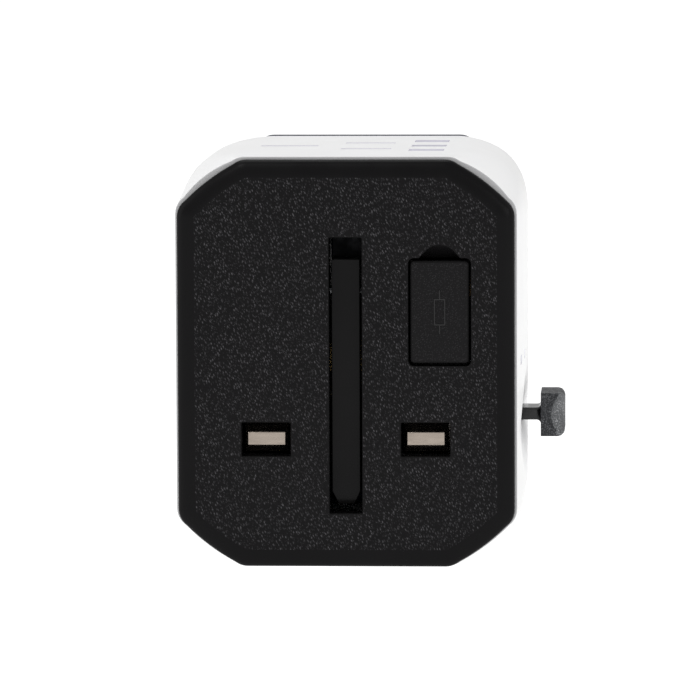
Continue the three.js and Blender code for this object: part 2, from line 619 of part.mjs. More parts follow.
const FINISH = {
  white: { color: 0xf2f2f0, roughness: 0.25, metalness: 0 },
  black: { color: 0x212021, roughness: 0.6, metalness: 0 },
  navy: { color: 0x151a26, roughness: 0.45, metalness: 0 },
  grey: { color: 0x5c6067, roughness: 0.5, metalness: 0 },
  nickel: { color: 0xc0b8ac, roughness: 0.3, metalness: 1 },
  brass: { color: 0xc9a24a, roughness: 0.35, metalness: 1 },
  steel: { color: 0xb9bcc0, roughness: 0.35, metalness: 1 },
  ceramic: { color: 0xe9e4d6, roughness: 0.5, metalness: 0 },
  board: { color: 0x1f6b3a, roughness: 0.5, metalness: 0 },
  ferrite: { color: 0x3a3a3c, roughness: 0.7, metalness: 0 },
  tape: { color: 0xe0b020, roughness: 0.4, metalness: 0 },
  red: { color: 0xa03028, roughness: 0.5, metalness: 0 },
  blue: { color: 0x2c4f9c, roughness: 0.5, metalness: 0 },
  lens: { color: 0xbfe6ff, roughness: 0.1, metalness: 0 },
};

function addMesh(name, shape, finish) {
  const geometry = shape instanceof THREE.BufferGeometry ? shape : toGeometry(shape);
  const mesh = new THREE.Mesh(geometry, new THREE.MeshStandardMaterial(FINISH[finish]));
  mesh.name = name;
  part.add(mesh);
  return mesh;
}

// Casing
addMesh('shell_sleeve', shellSleeve(), 'white');
addMesh('plug_face_cover', plugFaceCover(), 'black');
addMesh('socket_face_cover', socketFaceCover(), 'navy');
addMesh('plug_housing', plugHousing(), 'grey');
const housingSeat = HOUSING_FRONT + HOUSING_PLATE + 0.05;
SCREW_PLACES.forEach(([x, z], i) => {
  addMesh(`housing_screw_${i + 1}`, screw(x, z, housingSeat, -1, 2.9), 'steel');
});

// Pins, carriage and knob
for (const [name, side] of [['live', -1], ['neutral', 1]]) {
  addMesh(`${name}_pin`, contactPin(side), 'nickel');
  addMesh(`${name}_pin_sleeve`, pinSleeve(side), 'black');
  addMesh(`${name}_wiper`, wiper(side), 'brass');
}
addMesh('pin_carriage', pinCarriage(), 'black');
addMesh('release_knob', releaseKnob(), 'grey');
const knobSpring = springGeometry(0.85, 0.3, 6.2, 6);
knobSpring.rotateY(Math.PI / 2);
addMesh('knob_spring', knobSpring, 'steel').position.set(8.8, KNOB_Y - 1.35, PIN_Z + 3.5);

// Earth pin
addMesh('earth_pin', earthPin(), 'black');
addMesh('earth_pin_axle', earthAxle(), 'steel');
addMesh('earth_detent_spring', detentSpring(), 'steel');

// Fuse drawer
addMesh('fuse_drawer', fuseDrawer(), 'black');
for (const [name, z] of [['working', ACTIVE_Z], ['spare', SPARE_Z]]) {
  addMesh(`${name}_fuse_tube`, fuseTube(z), 'ceramic');
  addMesh(`${name}_fuse_front_cap`, fuseCap(z, FUSE_START), 'nickel');
  addMesh(`${name}_fuse_rear_cap`, fuseCap(z, FUSE_START + FUSE_LENGTH - FUSE_CAP), 'nickel');
}

// Current path and socket
addMesh('live_rail', liveRail(), 'brass');
addMesh('fuse_strip', fuseStrip(), 'brass');
addMesh('live_contact', socketClip(-1), 'brass');
addMesh('neutral_contact', neutralContact(), 'brass');
addMesh('contact_carrier', contactCarrier(), 'grey');
for (const [name, side] of [['1', -1], ['2', 1]]) {
  addMesh(`carrier_screw_${name}`, screw(side * CARRIER_SCREW_X, CARRIER_SCREW_Z, 21.35, 1, 7.6), 'steel');
}
addMesh('socket_shutter', shutter(), 'white');
const SPRING_BOTTOM = SOCKET_Z + 5.9;
for (const [name, side] of [['1', -1], ['2', 1]]) {
  const coil = springGeometry(1.0, 0.3, SPRING_TOP - SPRING_BOTTOM, 8);
  addMesh(`shutter_spring_${name}`, coil, 'steel').position.set(side * SPRING_X, 25.1, SPRING_BOTTOM);
}

// USB charger
addMesh('usb_board', block(-13.5, 13.5, -8, 24.6, BOARD_Z, BOARD_Z + 1.2), 'board');
for (const [name, side] of [['1', -1], ['2', 1]]) {
  addMesh(`usb_port_${name}`, usbShell(side), 'steel');
  addMesh(`usb_tongue_${name}`, usbTongue(side), 'white');
}
const TRANSFORMER_Y = 9.2;
const core = bar(0, 18.9, 13, 9.0, TRANSFORMER_Y - 6, TRANSFORMER_Y + 6);
const coreWindow = bar(0, 18.9, 10.4, 10, TRANSFORMER_Y - 3.6, TRANSFORMER_Y + 3.6);
addMesh('transformer_core', cut(core, [coreWindow]), 'ferrite');
addMesh('transformer_winding', bar(0, 18.9, 10.0, 8.4, TRANSFORMER_Y - 3.3, TRANSFORMER_Y + 3.3), 'tape');
addMesh('input_capacitor', capacitor(-3.5, -2.5, 4.0, 8), 'ferrite');
addMesh('output_capacitor', capacitor(10.3, 10.2, 2.6, 7), 'blue');
addMesh('bridge_rectifier', bar(6.6, BOARD_Z - 1.7, 5, 3.2, -5, 0), 'ferrite');
addMesh('light_pipe', rod(1.0, BACK - 6, BACK - 0.05, 14, { x: 17.4, z: 13.5 }), 'lens');
addMesh('power_led', bar(17.4, 13.5, 2.2, 2.2, BACK - 8.2, BACK - 6.2), 'lens');
const LIVE_WIRE = [[19.4, 2, 12.6], [18.2, 3.2, 15.5], [14.4, 4, 19.5], [11.4, 4.2, 23.4]];
const NEUTRAL_WIRE = [[13.8, 11.4, -16.2], [17.0, 11.8, -18.0], [19.2, 14.5, -12], [19.2, 16.0, 2],
  [16.6, 15, 16], [11.4, 14.2, 23.4]];
addMesh('board_wire_live', wireGeometry(LIVE_WIRE), 'red');
addMesh('board_wire_neutral', wireGeometry(NEUTRAL_WIRE), 'blue');

export default part;
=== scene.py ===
import math

import bmesh
import bpy
from mathutils import Matrix, Vector
from mathutils.geometry import delaunay_2d_cdt


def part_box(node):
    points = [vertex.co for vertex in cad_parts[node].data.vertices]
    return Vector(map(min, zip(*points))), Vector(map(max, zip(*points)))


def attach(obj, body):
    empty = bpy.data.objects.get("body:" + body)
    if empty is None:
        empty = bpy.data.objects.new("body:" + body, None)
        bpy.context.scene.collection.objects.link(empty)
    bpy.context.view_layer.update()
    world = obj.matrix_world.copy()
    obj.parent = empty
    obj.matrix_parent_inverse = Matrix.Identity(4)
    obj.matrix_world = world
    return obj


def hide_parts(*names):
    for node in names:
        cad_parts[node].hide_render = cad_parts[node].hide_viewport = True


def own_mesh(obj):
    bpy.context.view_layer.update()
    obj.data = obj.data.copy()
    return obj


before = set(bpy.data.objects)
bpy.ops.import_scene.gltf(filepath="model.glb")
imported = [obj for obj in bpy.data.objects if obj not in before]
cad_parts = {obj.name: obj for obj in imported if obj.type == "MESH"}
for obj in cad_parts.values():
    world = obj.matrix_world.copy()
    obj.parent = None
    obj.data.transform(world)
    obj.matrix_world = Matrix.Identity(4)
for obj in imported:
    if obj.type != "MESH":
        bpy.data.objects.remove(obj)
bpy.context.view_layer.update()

# A universal travel adapter. Shapes are worked out in millimetres in the shared frame:
# +X right, +Y from the plug face to the socket face, +Z up, resting on z = 0.
MM = 0.001


def node_box(*names):
    """Lowest and highest corner of one or more CAD nodes, in millimetres."""
    corners = [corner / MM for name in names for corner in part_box(name)]
    return (Vector(map(min, zip(*corners))), Vector(map(max, zip(*corners))))


def middle(box):
    return (box[0] + box[1]) / 2


# ---- Places taken from the frame ----
PLUG_BOX = node_box("plug_face_cover")
SLEEVE_BOX = node_box("shell_sleeve")
FRONT = PLUG_BOX[0].y
BACK = node_box("socket_face_cover")[1].y
SLEEVE_FRONT = SLEEVE_BOX[0].y
SLEEVE_BACK = SLEEVE_BOX[1].y
CENTRE_Z = middle(PLUG_BOX).z
CAP_HALF_W = PLUG_BOX[1].x
CAP_HALF_H = PLUG_BOX[1].z - CENTRE_Z
BELLY_HALF_W = SLEEVE_BOX[1].x
BELLY_HALF_H = SLEEVE_BOX[1].z - CENTRE_Z
PIN_BOX = node_box("neutral_pin")
PIN_X = middle(PIN_BOX).x
PIN_Z = middle(PIN_BOX).z
EARTH_BOX = node_box("earth_pin")
DRAWER_BOX = node_box("fuse_drawer")
KNOB_BOX = node_box("release_knob")

# ---- Driving dimensions ----
# The corners of the end covers are bowed chamfers, and those of the belly are full curves.
CHAMFER = (8.7, 6.55)
CHAMFER_BOW = 0.3
LEAST_FILLET = 0.3
CORNER_FILLET = 3.0
BELLY_CORNER = (8.7, 9.5)
BELLY_FULLNESS = 0.9
WALL = 2.0

FILLET_STEPS = 5
CHAMFER_STEPS = 8
ROUND_STEPS = 6


# ---- Flat outlines ----
def blend_points(a, b, t):
    return (a[0] + (b[0] - a[0]) * t, a[1] + (b[1] - a[1]) * t)


def bezier(a, pull, b, t):
    return blend_points(blend_points(a, pull, t), blend_points(pull, b, t), t)


def corner_ends(half_w, half_h, cham_x, cham_z, inset):
    """Where a chamfered corner leaves the flat side and reaches the flat top, pushed in evenly by inset."""
    length = math.hypot(cham_x, cham_z)
    across, up = cham_z / length, cham_x / length
    side = (half_w - inset, half_h - cham_z - inset * (1 - across) / up)
    end = (half_w - cham_x - inset * (1 - up) / across, half_h - inset)
    return side, end


def chamfered_corner(half_w, half_h, inset=0.0, full_bow=CHAMFER_BOW):
    """One corner as a slightly bowed chamfer with a small fillet at each end."""
    side, end = corner_ends(half_w, half_h, *CHAMFER, inset)
    run_x, run_z = end[0] - side[0], end[1] - side[1]
    length = math.hypot(run_x, run_z)
    way = (run_x / length, run_z / length)
    radius = max(CORNER_FILLET - inset, LEAST_FILLET)
    first_turn = math.atan2(-run_x, run_z)
    start = radius * math.tan(first_turn / 2)
    stop = radius * math.tan((math.pi / 2 - first_turn) / 2)
    p1 = (side[0] + way[0] * start, side[1] + way[1] * start)
    p2 = (end[0] - way[0] * stop, end[1] - way[1] * stop)
    points = [bezier((side[0], side[1] - start), side, p1, i / FILLET_STEPS) for i in range(FILLET_STEPS)]
    for i in range(CHAMFER_STEPS + 1):
        t = i / CHAMFER_STEPS
        bow = full_bow * 4 * t * (1 - t)
        x, z = blend_points(p1, p2, t)
        points.append((x + way[1] * bow, z - way[0] * bow))
    points += [bezier(p2, end, (end[0] - stop, end[1]), (i + 1) / FILLET_STEPS) for i in range(FILLET_STEPS)]
    return points


def belly_corner(inset):
    """One corner of the belly: a full curve with as many points as the chamfered corner."""
    side, end = corner_ends(BELLY_HALF_W, BELLY_HALF_H, *BELLY_CORNER, inset)
    tip = (BELLY_HALF_W - inset, BELLY_HALF_H - inset)
    pull = blend_points(blend_points(side, end, 0.5), tip, BELLY_FULLNESS)
    count = 2 * FILLET_STEPS + CHAMFER_STEPS
    return [bezier(side, pull, end, i / count) for i in range(count + 1)]


def ring_from_corner(corner, right=(), top=()):
    """A closed outline from one corner mirrored to all four, with extra heights and places on its flats."""
    w, h, back = corner[0][0], corner[-1][1], corner[::-1]
    loop = [(w, z) for z in right] + corner
    loop += [(x, h) for x in reversed(top)] + [(-x, z) for x, z in back]
    loop += [(-w, z) for z in reversed(right)] + [(-x, -z) for x, z in corner]
    loop += [(x, -h) for x in top] + [(x, -z) for x, z in back]
    return [(x, z + CENTRE_Z) for x, z in loop]


def cap_outline(inset, proud=0.0):
    """The outline of an end cover. proud makes it a little larger all round."""
    return ring_from_corner(chamfered_corner(CAP_HALF_W + proud, CAP_HALF_H + proud, inset))


def rounded_rect(x, z, width, height, radius, steps=ROUND_STEPS):
    loop = []
    for quarter, (sx, sz) in enumerate([(1, 1), (-1, 1), (-1, -1), (1, -1)]):
        cx = x + sx * (width / 2 - radius)
        cz = z + sz * (height / 2 - radius)
        for i in range(steps + 1):
            angle = math.pi / 2 * (quarter + i / steps)
            loop.append((cx + radius * math.cos(angle), cz + radius * math.sin(angle)))
    return loop


def circle(x, z, radius, steps):
    turns = [2 * math.pi * i / steps for i in range(steps)]
    return [(x + radius * math.cos(a), z + radius * math.sin(a)) for a in turns]


def quarter(steps):
    """A quarter round from a face to a side: the shares still to go across and already gone down."""
    turns = [math.pi / 2 * i / steps for i in range(steps + 1)]
    return [(1 - math.sin(a), 1 - math.cos(a)) for a in turns]


def turned(loop, x, z, degrees):
    """A loop turned about a point."""
    c, s = math.cos(math.radians(degrees)), math.sin(math.radians(degrees))
    return [(x + (px - x) * c - (pz - z) * s, z + (px - x) * s + (pz - z) * c) for px, pz in loop]


def pairs(loop):
    return zip(loop, loop[1:] + loop[:1])


def trios(loop):
    return zip(loop[-1:] + loop[:-1], loop, loop[1:] + loop[:1])


def area(loop):
    return sum(a[0] * b[1] - b[0] * a[1] for a, b in pairs(loop)) / 2


def grow(loop, distance):
    """A counter-clockwise loop pushed outward, with the same number of points."""
    grown = []
    for before, here, after in trios(loop):
        a = Vector((here[1] - before[1], before[0] - here[0])).normalized()
        b = Vector((after[1] - here[1], here[0] - after[0])).normalized()
        mitre = a + b
        mitre /= max(mitre.length_squared / 2, 0.25)
        grown.append((here[0] + mitre.x * distance, here[1] + mitre.y * distance))
    return grown


def inside(point, loop):
    hit = False
    for (x0, z0), (x1, z1) in pairs(loop):
        if (z0 > point[1]) != (z1 > point[1]):
            if point[0] < (x1 - x0) * (point[1] - z0) / (z1 - z0) + x0:
                hit = not hit
    return hit


def centre_of(points):
    """The mean of some points, in as many directions as they have."""
    return tuple(sum(values) / len(points) for values in zip(*points))


def tidy_loop(loop, least=0.03):
    """A loop without points that crowd their neighbour or lie on a straight run."""
    kept = []
    for point in loop:
        if not kept or math.dist(point, kept[-1]) > least:
            kept.append(point)
    if math.dist(kept[0], kept[-1]) <= least:
        kept.pop()
    corners = []
    for before, here, after in trios(kept):
        bend = (here[0] - before[0]) * (after[1] - here[1]) - (here[1] - before[1]) * (after[0] - here[0])
        if abs(bend) > 1e-5:
            corners.append(here)
    return corners


def loop_edges(loops):
    """The edges of loops whose points are numbered one after another."""
    edges = []
    start = 0
    for loop in loops:
        edges += [(start + i, start + (i + 1) % len(loop)) for i in range(len(loop))]
        start += len(loop)
    return edges


def union(loops):
    """The outer outline of loops that overlap each other, counter-clockwise."""
    points = [Vector(p) for loop in loops for p in loop]
    coords, _, faces, *_ = delaunay_2d_cdt(points, loop_edges(loops), [], 0, 1e-6)
    once = set()
    for face in faces:
        centre = centre_of([coords[i] for i in face])
        if any(inside(centre, loop) for loop in loops):
            edges = set(pairs(list(face)))
            shared = {(a, b) for a, b in edges if (b, a) in once}
            once -= {(b, a) for a, b in shared}
            once |= edges - shared
    follow = dict(once)
    first = min(follow)
    order = [first]
    while follow[order[-1]] != first:
        order.append(follow[order[-1]])
    outline = tidy_loop([tuple(coords[i]) for i in order])
    return outline if area(outline) > 0 else outline[::-1]


# ---- Solid forms ----
class Form:
    """Points in millimetres and faces with a finish number, built ring by ring."""

    def __init__(self):
        self.points, self.faces, self.finishes = [], [], []

    def ring(self, points):
        start = len(self.points)
        self.points += [tuple(p) for p in points]
        return list(range(start, len(self.points)))

    def at(self, loop, y):
        return self.ring([(x, y, z) for x, z in loop])

    def face(self, ring, finish=0):
        self.faces.append(list(ring))
        self.finishes.append(finish)

    def bridge(self, a, b, finish=0):
        for i in range(len(a)):
            j = (i + 1) % len(a)
            self.face((a[i], a[j], b[j], b[i]), finish)

    def chain(self, rings, finish=0):
        for a, b in zip(rings, rings[1:]):
            self.bridge(a, b, finish)

    def fill(self, outer, holes=(), finish=0):
        """Fills the flat space between an outer ring and the rings of its holes."""
        rings = [outer, *holes]
        flat = [[(self.points[i][0], self.points[i][2]) for i in ring] for ring in rings]
        order = [i for ring in rings for i in ring]
        coords = [Vector(p) for loop in flat for p in loop]
        _, _, faces, origins, *_ = delaunay_2d_cdt(coords, loop_edges(rings), [], 1, 1e-7)
        for face in faces:
            corners = [origins[i][0] for i in face]
            centre = centre_of([coords[i] for i in corners])
            if inside(centre, flat[0]) and not any(inside(centre, loop) for loop in flat[1:]):
                self.face([order[i] for i in corners], finish)

    def solid(self, rings):
        """A chain of rings, closed at both ends."""
        self.chain(rings)
        self.face(rings[0])
        self.face(rings[-1])

    def block(self, low, high):
        (x0, y0, z0), (x1, y1, z1) = low, high
        self.solid([self.at([(x0, z0), (x1, z0), (x1, z1), (x0, z1)], y) for y in (y0, y1)])

    def piece(self, name, body, looks, node=None, slot=None, sharp=32, bevel=0.0, bevel_angle=35):
        mesh = bpy.data.meshes.new(name)
        mesh.from_pydata([Vector(p) * MM for p in self.points], [], self.faces)
        for polygon, finish in zip(mesh.polygons, self.finishes):
            polygon.material_index = finish
        finished(mesh, name, body, looks, node, sharp, bevel, bevel_angle)


def linked(name, data):
    thing = bpy.data.objects.new(name, data)
    bpy.context.scene.collection.objects.link(thing)
    return thing


def bevel_edges(bm, width, angle):
    sharp = [e for e in bm.edges if e.is_manifold and e.calc_face_angle(0) > math.radians(angle)]
    bmesh.ops.bevel(
        bm, geom=sharp, offset=width * MM, offset_type="OFFSET", segments=3, profile=0.5,
        affect="EDGES", clamp_overlap=True,
    )


def finished(mesh, name, body, looks, node, sharp=32, bevel=0.0, bevel_angle=35):
    """Turns a mesh into a piece that rides on a body: outward normals, soft edges, smooth shading.
    node is the CAD node that it replaces."""
    bm = bmesh.new()
    bm.from_mesh(mesh)
    bmesh.ops.remove_doubles(bm, verts=bm.verts, dist=1e-7)
    bmesh.ops.recalc_face_normals(bm, faces=bm.faces)
    if bevel:
        bevel_edges(bm, bevel, bevel_angle)
    bm.to_mesh(mesh)
    bm.free()
    mesh.shade_smooth()
    mesh.set_sharp_from_angle(angle=math.radians(sharp))
    piece = linked(name, mesh)
    for look in looks:
        mesh.materials.append(LOOKS[look])
    even = piece.modifiers.new("even_normals", "WEIGHTED_NORMAL")
    even.keep_sharp = True
    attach(piece, body)
    if node:
        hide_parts(node)
    return piece


# Edges of a CAD mesh that bend more than this many degrees are rounded.
REFINED_ANGLE = 28


def refined(node, name, body, look, width, keep_from=None):
    """A copy of a CAD node's mesh with its flat faces joined and its edges rounded.
    keep_from drops what lies in front of that Y, and closes the cut."""
    bm = bmesh.new()
    bm.from_mesh(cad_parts[node].data)
    bmesh.ops.remove_doubles(bm, verts=bm.verts, dist=1e-6)
    if keep_from is not None:
        geom = bm.verts[:] + bm.edges[:] + bm.faces[:]
        cut = bmesh.ops.bisect_plane(
            bm, geom=geom, plane_co=(0, keep_from * MM, 0), plane_no=(0, 1, 0), clear_inner=True)
        rim = [e for e in cut["geom_cut"] if isinstance(e, bmesh.types.BMEdge)]
        bmesh.ops.contextual_create(bm, geom=rim)
    bmesh.ops.dissolve_limit(bm, angle_limit=math.radians(1), verts=bm.verts, edges=bm.edges)
    bevel_edges(bm, width, REFINED_ANGLE)
    mesh = bpy.data.meshes.new(name)
    bm.to_mesh(mesh)
    bm.free()
    finished(mesh, name, body, [look], node)


# ---- Materials ----
class Nodes:
    """A Principled material and the node steps that the finishes share."""

    def __init__(self, name, colour, roughness, metallic=0.0, specular=0.5):
        self.material = bpy.data.materials.new(name)
        self.material.use_nodes = True
        self.tree = self.material.node_tree
        self.colour = (*colour, 1.0)
        self.roughness = roughness
        self.material.diffuse_color = self.colour
        self.shade(**{"Base Color": self.colour, "Specular IOR Level": specular})
        self.shade(Roughness=roughness, Metallic=metallic)
        self.place = self.add("TexCoord", "Object", {})

    def put(self, node, inputs):
        """Sets a node's inputs, which are given as numbers or as the outputs of other nodes."""
        for key, value in inputs.items():
            if isinstance(value, bpy.types.NodeSocket):
                self.tree.links.new(value, node.inputs[key])
            else:
                node.inputs[key].default_value = value

    def shade(self, **inputs):
        self.put(self.tree.nodes["Principled BSDF"], inputs)

    def add(self, kind, output, inputs, **options):
        node = self.tree.nodes.new(f"ShaderNode{kind}")
        for option, value in options.items():
            setattr(node, option, value)
        self.put(node, inputs)
        return node.outputs[output]

    def stretched(self, scale, turn=(0.0, 0.0, 0.0)):
        """Object coordinates scaled, in cells per metre along each axis, after a turn in degrees."""
        angles = [math.radians(a) for a in turn]
        place = self.add("Mapping", "Vector", {"Vector": self.place, "Rotation": angles})
        return self.add("Mapping", "Vector", {"Vector": place, "Scale": scale})

    def noise(self, scale, detail, vector=None):
        return self.add("TexNoise", "Fac", {"Scale": scale, "Detail": detail, "Vector": vector or self.place})

    def specks(self, across, along, lean, reach, fewest):
        """Scattered long specks on a face that looks along Y, each with a strength of its own.
        across and along are cells per metre, lean is in degrees, and fewest is the share left blank."""
        place = self.stretched((across, along, 0.0), (90, 0, lean))
        cells = self.add("TexVoronoi", "Color", {"Scale": 1.0, "Vector": place}, voronoi_dimensions="2D")
        strength = self.span(self.add("SeparateColor", "Red", {"Color": cells}), fewest, 1, 0, 1)
        return self.maths("MULTIPLY", self.span(cells.node.outputs["Distance"], 0, reach, 1, 0), strength)

    def span(self, value, low, high, to_low, to_high):
        inputs = {"Value": value, "From Min": low, "From Max": high, "To Min": to_low, "To Max": to_high}
        return self.add("MapRange", "Result", inputs, interpolation_type="SMOOTHSTEP")

    def maths(self, operation, a, b):
        return self.add("Math", 0, {0: a, 1: b}, operation=operation)

    def bump(self, height, depth_mm, below=None):
        inputs = {"Strength": 1.0, "Distance": depth_mm * MM, "Height": height}
        if below is not None:
            inputs["Normal"] = below
        normal = self.add("Bump", "Normal", inputs)
        self.shade(Normal=normal)
        return normal

    def vary_colour(self, value, other):
        """Moves the base colour towards another one where value is high."""
        inputs = {"A": self.colour, "B": (*other, 1.0), "Factor": value}
        self.shade(**{"Base Color": self.add("Mix", "Result", inputs, data_type="RGBA")})

    def vary_roughness(self, value, spread):
        rough = self.roughness
        self.shade(Roughness=self.span(value, 0.3, 0.7, rough - spread, rough + spread))


def scaled(colour, factor):
    return tuple(min(1.0, c * factor) for c in colour)


def moulded(name, colour, roughness, grain_mm, grain_depth, specular=0.5, drift=1.12):
    """Moulded plastic: a fine spark-eroded grain, and a slow drift in tone and gloss."""
    m = Nodes(name, colour, roughness, specular=specular)
    m.vary_colour(m.span(m.noise(60, 3), 0.35, 0.65, 0, 1), scaled(colour, drift))
    m.vary_roughness(m.noise(240, 2), 0.05)
    m.bump(m.noise(1 / (grain_mm * MM), 2), grain_depth)
    return m.material


def shell_white():
    m = Nodes("shell_white", (0.88, 0.88, 0.885), 0.4, specular=0.22)
    m.vary_colour(m.span(m.noise(25, 3), 0.35, 0.65, 0, 1), (0.865, 0.865, 0.86))
    m.vary_roughness(m.noise(180, 2), 0.04)
    m.bump(m.noise(900, 1), 0.0006)
    return m.material


# How far the specks lean to the right, in degrees.
LEAN = 22


def face_black():
    """Coarse leather-like grain: small raised specks that lean to the right on a dark ground. The specks are
    also coloured lighter: a painted highlight.
    """
    m = Nodes("face_black", (0.0048, 0.0045, 0.0049), 0.3, specular=0.085)
    coarse = m.specks(3000, 1350, LEAN, 0.36, 0.1)
    small = m.specks(4600, 2300, LEAN + 17, 0.4, 0.3)
    patchy = m.span(m.noise(900, 1), 0.35, 0.65, 0.45, 1.0)
    raised = m.maths("MULTIPLY", m.maths("MAXIMUM", coarse, m.maths("MULTIPLY", small, 0.6)), patchy)
    under = m.bump(m.noise(6500, 2), 0.01)
    m.bump(raised, 0.04, under)
    m.vary_roughness(m.noise(2500, 1), 0.06)
    # Painted highlight: the raised specks are coloured lighter.
    m.vary_colour(raised, (0.09, 0.087, 0.093))
    return m.material


def fuse_black():
    """The fuse cover's finer, fainter grain. Its specks are coloured lighter: a painted highlight."""
    m = Nodes("fuse_black", (0.0062, 0.0058, 0.0063), 0.32, specular=0.1)
    fine = m.specks(5200, 4000, LEAN, 0.4, 0.3)
    m.bump(fine, 0.02)
    m.vary_roughness(m.noise(2500, 1), 0.05)
    # Painted highlight: the fine specks are coloured lighter.
    m.vary_colour(fine, (0.038, 0.0367, 0.039))
    return m.material


def knob_grain(name, ground, crest):
    """A rough moulded grip: light grains on a darker ground."""
    m = Nodes(name, ground, 0.5, specular=0.25)
    light = m.span(m.noise(5200, 1), 0.45, 0.75, 0, 1)
    slow = m.span(m.noise(420, 2), 0.35, 0.65, 0.25, 1)
    grains = m.maths("MULTIPLY", light, slow)
    m.bump(m.noise(4200, 2), 0.09)
    m.vary_roughness(m.noise(1500, 1), 0.08)
    m.vary_colour(grains, crest)
    return m.material


def metal(name, colour, roughness, streak, depth):
    """Plated or drawn metal with faint drawing lines and uneven gloss."""
    m = Nodes(name, colour, roughness, metallic=1.0)
    lines = m.noise(1.0, 3, m.stretched(streak))
    m.vary_roughness(lines, 0.08)
    m.vary_colour(m.span(m.noise(400, 3), 0.4, 0.7, 0, 1), scaled(colour, 0.86))
    m.bump(lines, depth)
    return m.material


def clear_lens():
    m = Nodes("led_clear", (0.86, 0.93, 0.97), 0.12)
    m.shade(**{"Transmission Weight": 0.6, "IOR": 1.49})
    m.vary_roughness(m.noise(900, 2), 0.05)
    m.bump(m.noise(1500, 1), 0.003)
    return m.material


# Moulded plastics: colour, roughness, grain size and depth in mm, specular level, and drift in tone.
MOULDED = {
    # The sleeve's front lip: a grey that paints the shade the lip lies in.
    "shell_lip": ((0.47, 0.47, 0.475), 0.4, 0.12, 0.002, 0.2),
    # The top marks' walls and floors: a lilac grey that paints the shade in these recesses.
    "shell_marks": ((0.59, 0.58, 0.64), 0.35, 0.12, 0.002),
    # The side marks: a pale lilac grey that paints the shade in these recesses.
    "side_marks_painted_shade": ((0.74, 0.74, 0.78), 0.35, 0.12, 0.002),
    "rim_black": ((0.005, 0.0048, 0.0051), 0.3, 0.12, 0.002, 0.07),
    "symbol_black": ((0.017, 0.0165, 0.017), 0.3, 0.12, 0.002, 0.2),
    "stem_black": ((0.0056, 0.0056, 0.0062), 0.16, 0.2, 0.001, 0.4),
    "pin_black": ((0.0052, 0.005, 0.0052), 0.34, 0.2, 0.003, 0.09),
    "cap_navy": ((0.009, 0.012, 0.027), 0.4, 0.22, 0.02, 0.4),
    "cap_navy_rim": ((0.011, 0.017, 0.046), 0.3, 0.12, 0.003, 0.4),
    "moulding_grey": ((0.022, 0.023, 0.025), 0.5, 0.3, 0.006),
    "inner_white": ((0.78, 0.77, 0.74), 0.4, 0.3, 0.004, 0.5, 0.96),
    "fuse_ceramic": ((0.76, 0.72, 0.62), 0.35, 0.25, 0.006, 0.5, 0.94),
    "board_green": ((0.02, 0.12, 0.045), 0.35, 0.4, 0.006, 0.5, 1.4),
    "ferrite": ((0.035, 0.035, 0.037), 0.6, 0.25, 0.02),
    "winding_tape": ((0.62, 0.42, 0.05), 0.3, 0.8, 0.01),
    "component_black": ((0.02, 0.02, 0.022), 0.35, 0.3, 0.005),
    "capacitor_blue": ((0.02, 0.05, 0.22), 0.3, 0.5, 0.004),
    "wire_brown": ((0.12, 0.035, 0.02), 0.4, 0.3, 0.006),
    "wire_blue": ((0.02, 0.07, 0.3), 0.4, 0.3, 0.006),
}
# Metals: colour, roughness, drawing lines per metre along each axis, and their depth in mm.
METALS = {
    "pin_nickel": ((0.37, 0.318, 0.272), 0.3, (500, 90, 2600), 0.003),
    "brass": ((0.72, 0.50, 0.20), 0.32, (2400, 120, 2400), 0.004),
    "steel": ((0.60, 0.61, 0.63), 0.28, (1800, 90, 1800), 0.003),
    # Steel darkened to paint the shade that the leaf behind the earth pin lies in.
    "steel_painted_shade": ((0.03, 0.03, 0.032), 0.5, (900, 90, 900), 0.003),
    # Brass darkened to paint the shade that the fuse strip lies in; its higher roughness is the metal's own.
    "brass_painted_shade": ((0.12, 0.08, 0.035), 0.55, (900, 90, 900), 0.003),
    "contact_gold": ((0.86, 0.62, 0.26), 0.24, (1200, 200, 1200), 0.002),
}
LOOKS = {
    "shell_white": shell_white(),
    "face_black": face_black(),
    "fuse_black": fuse_black(),
    "led_clear": clear_lens(),
    "knob_grey": knob_grain("knob_grey", (0.021, 0.022, 0.025), (0.22, 0.225, 0.235)),
    # The grip's slopes: a lighter copy of the grip's finish, painted light.
    "knob_scoop_painted_light": knob_grain("knob_scoop_painted_light", (0.075, 0.078, 0.082), (0.36, 0.365, 0.375)),
    **{name: moulded(name, *values) for name, values in MOULDED.items()},
    **{name: metal(name, *values) for name, values in METALS.items()},
}

# The leaf behind the earth pin and the fuse strip get darkened steel and brass: painted shade, as they lie in
# shade behind the openings.
SPECIAL_LOOKS = {"earth_detent_spring": "steel_painted_shade", "fuse_strip": "brass_painted_shade"}


def paint_cad_nodes():
    """Gives every carried-over CAD node the finish of its material slot."""
    for name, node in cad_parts.items():
        for slot in node.material_slots:
            base = slot.material.name.split(".")[0]
            slot.material = LOOKS[SPECIAL_LOOKS.get(name, base)]


# ---- White sleeve ----
SLEEVE_EDGE = 0.15
SWELL_FLAT = 9.0
SWELL_POWER = 1.8
KNOB_Z = PIN_Z - CENTRE_Z

# The front lip, which stands proud of the cover on the upper half. Its first stations and its front face are
# painted grey as shade, because the lip lies in shade beside the cover.
SHADED_LIP_STATIONS = 4
LIP_BOW = 0.6
FRONT_LIP_SIDE = 0.3
FRONT_LIP_TOP = 0.38

# The knob's slot and the finger recess round it.
SLOT_HALF = 1.25
SLOT_FRONT = -16.6
SLOT_REAR = 9.6
SLOT_LIP = 0.3
SLOT_LIP_LINES = (0, 0.1, 0.2, SLOT_LIP)
DISH_HALF = 8.0
DISH_OVER = 9.0
DISH_DEPTH = 0.9
DISH_EDGE = 4.6

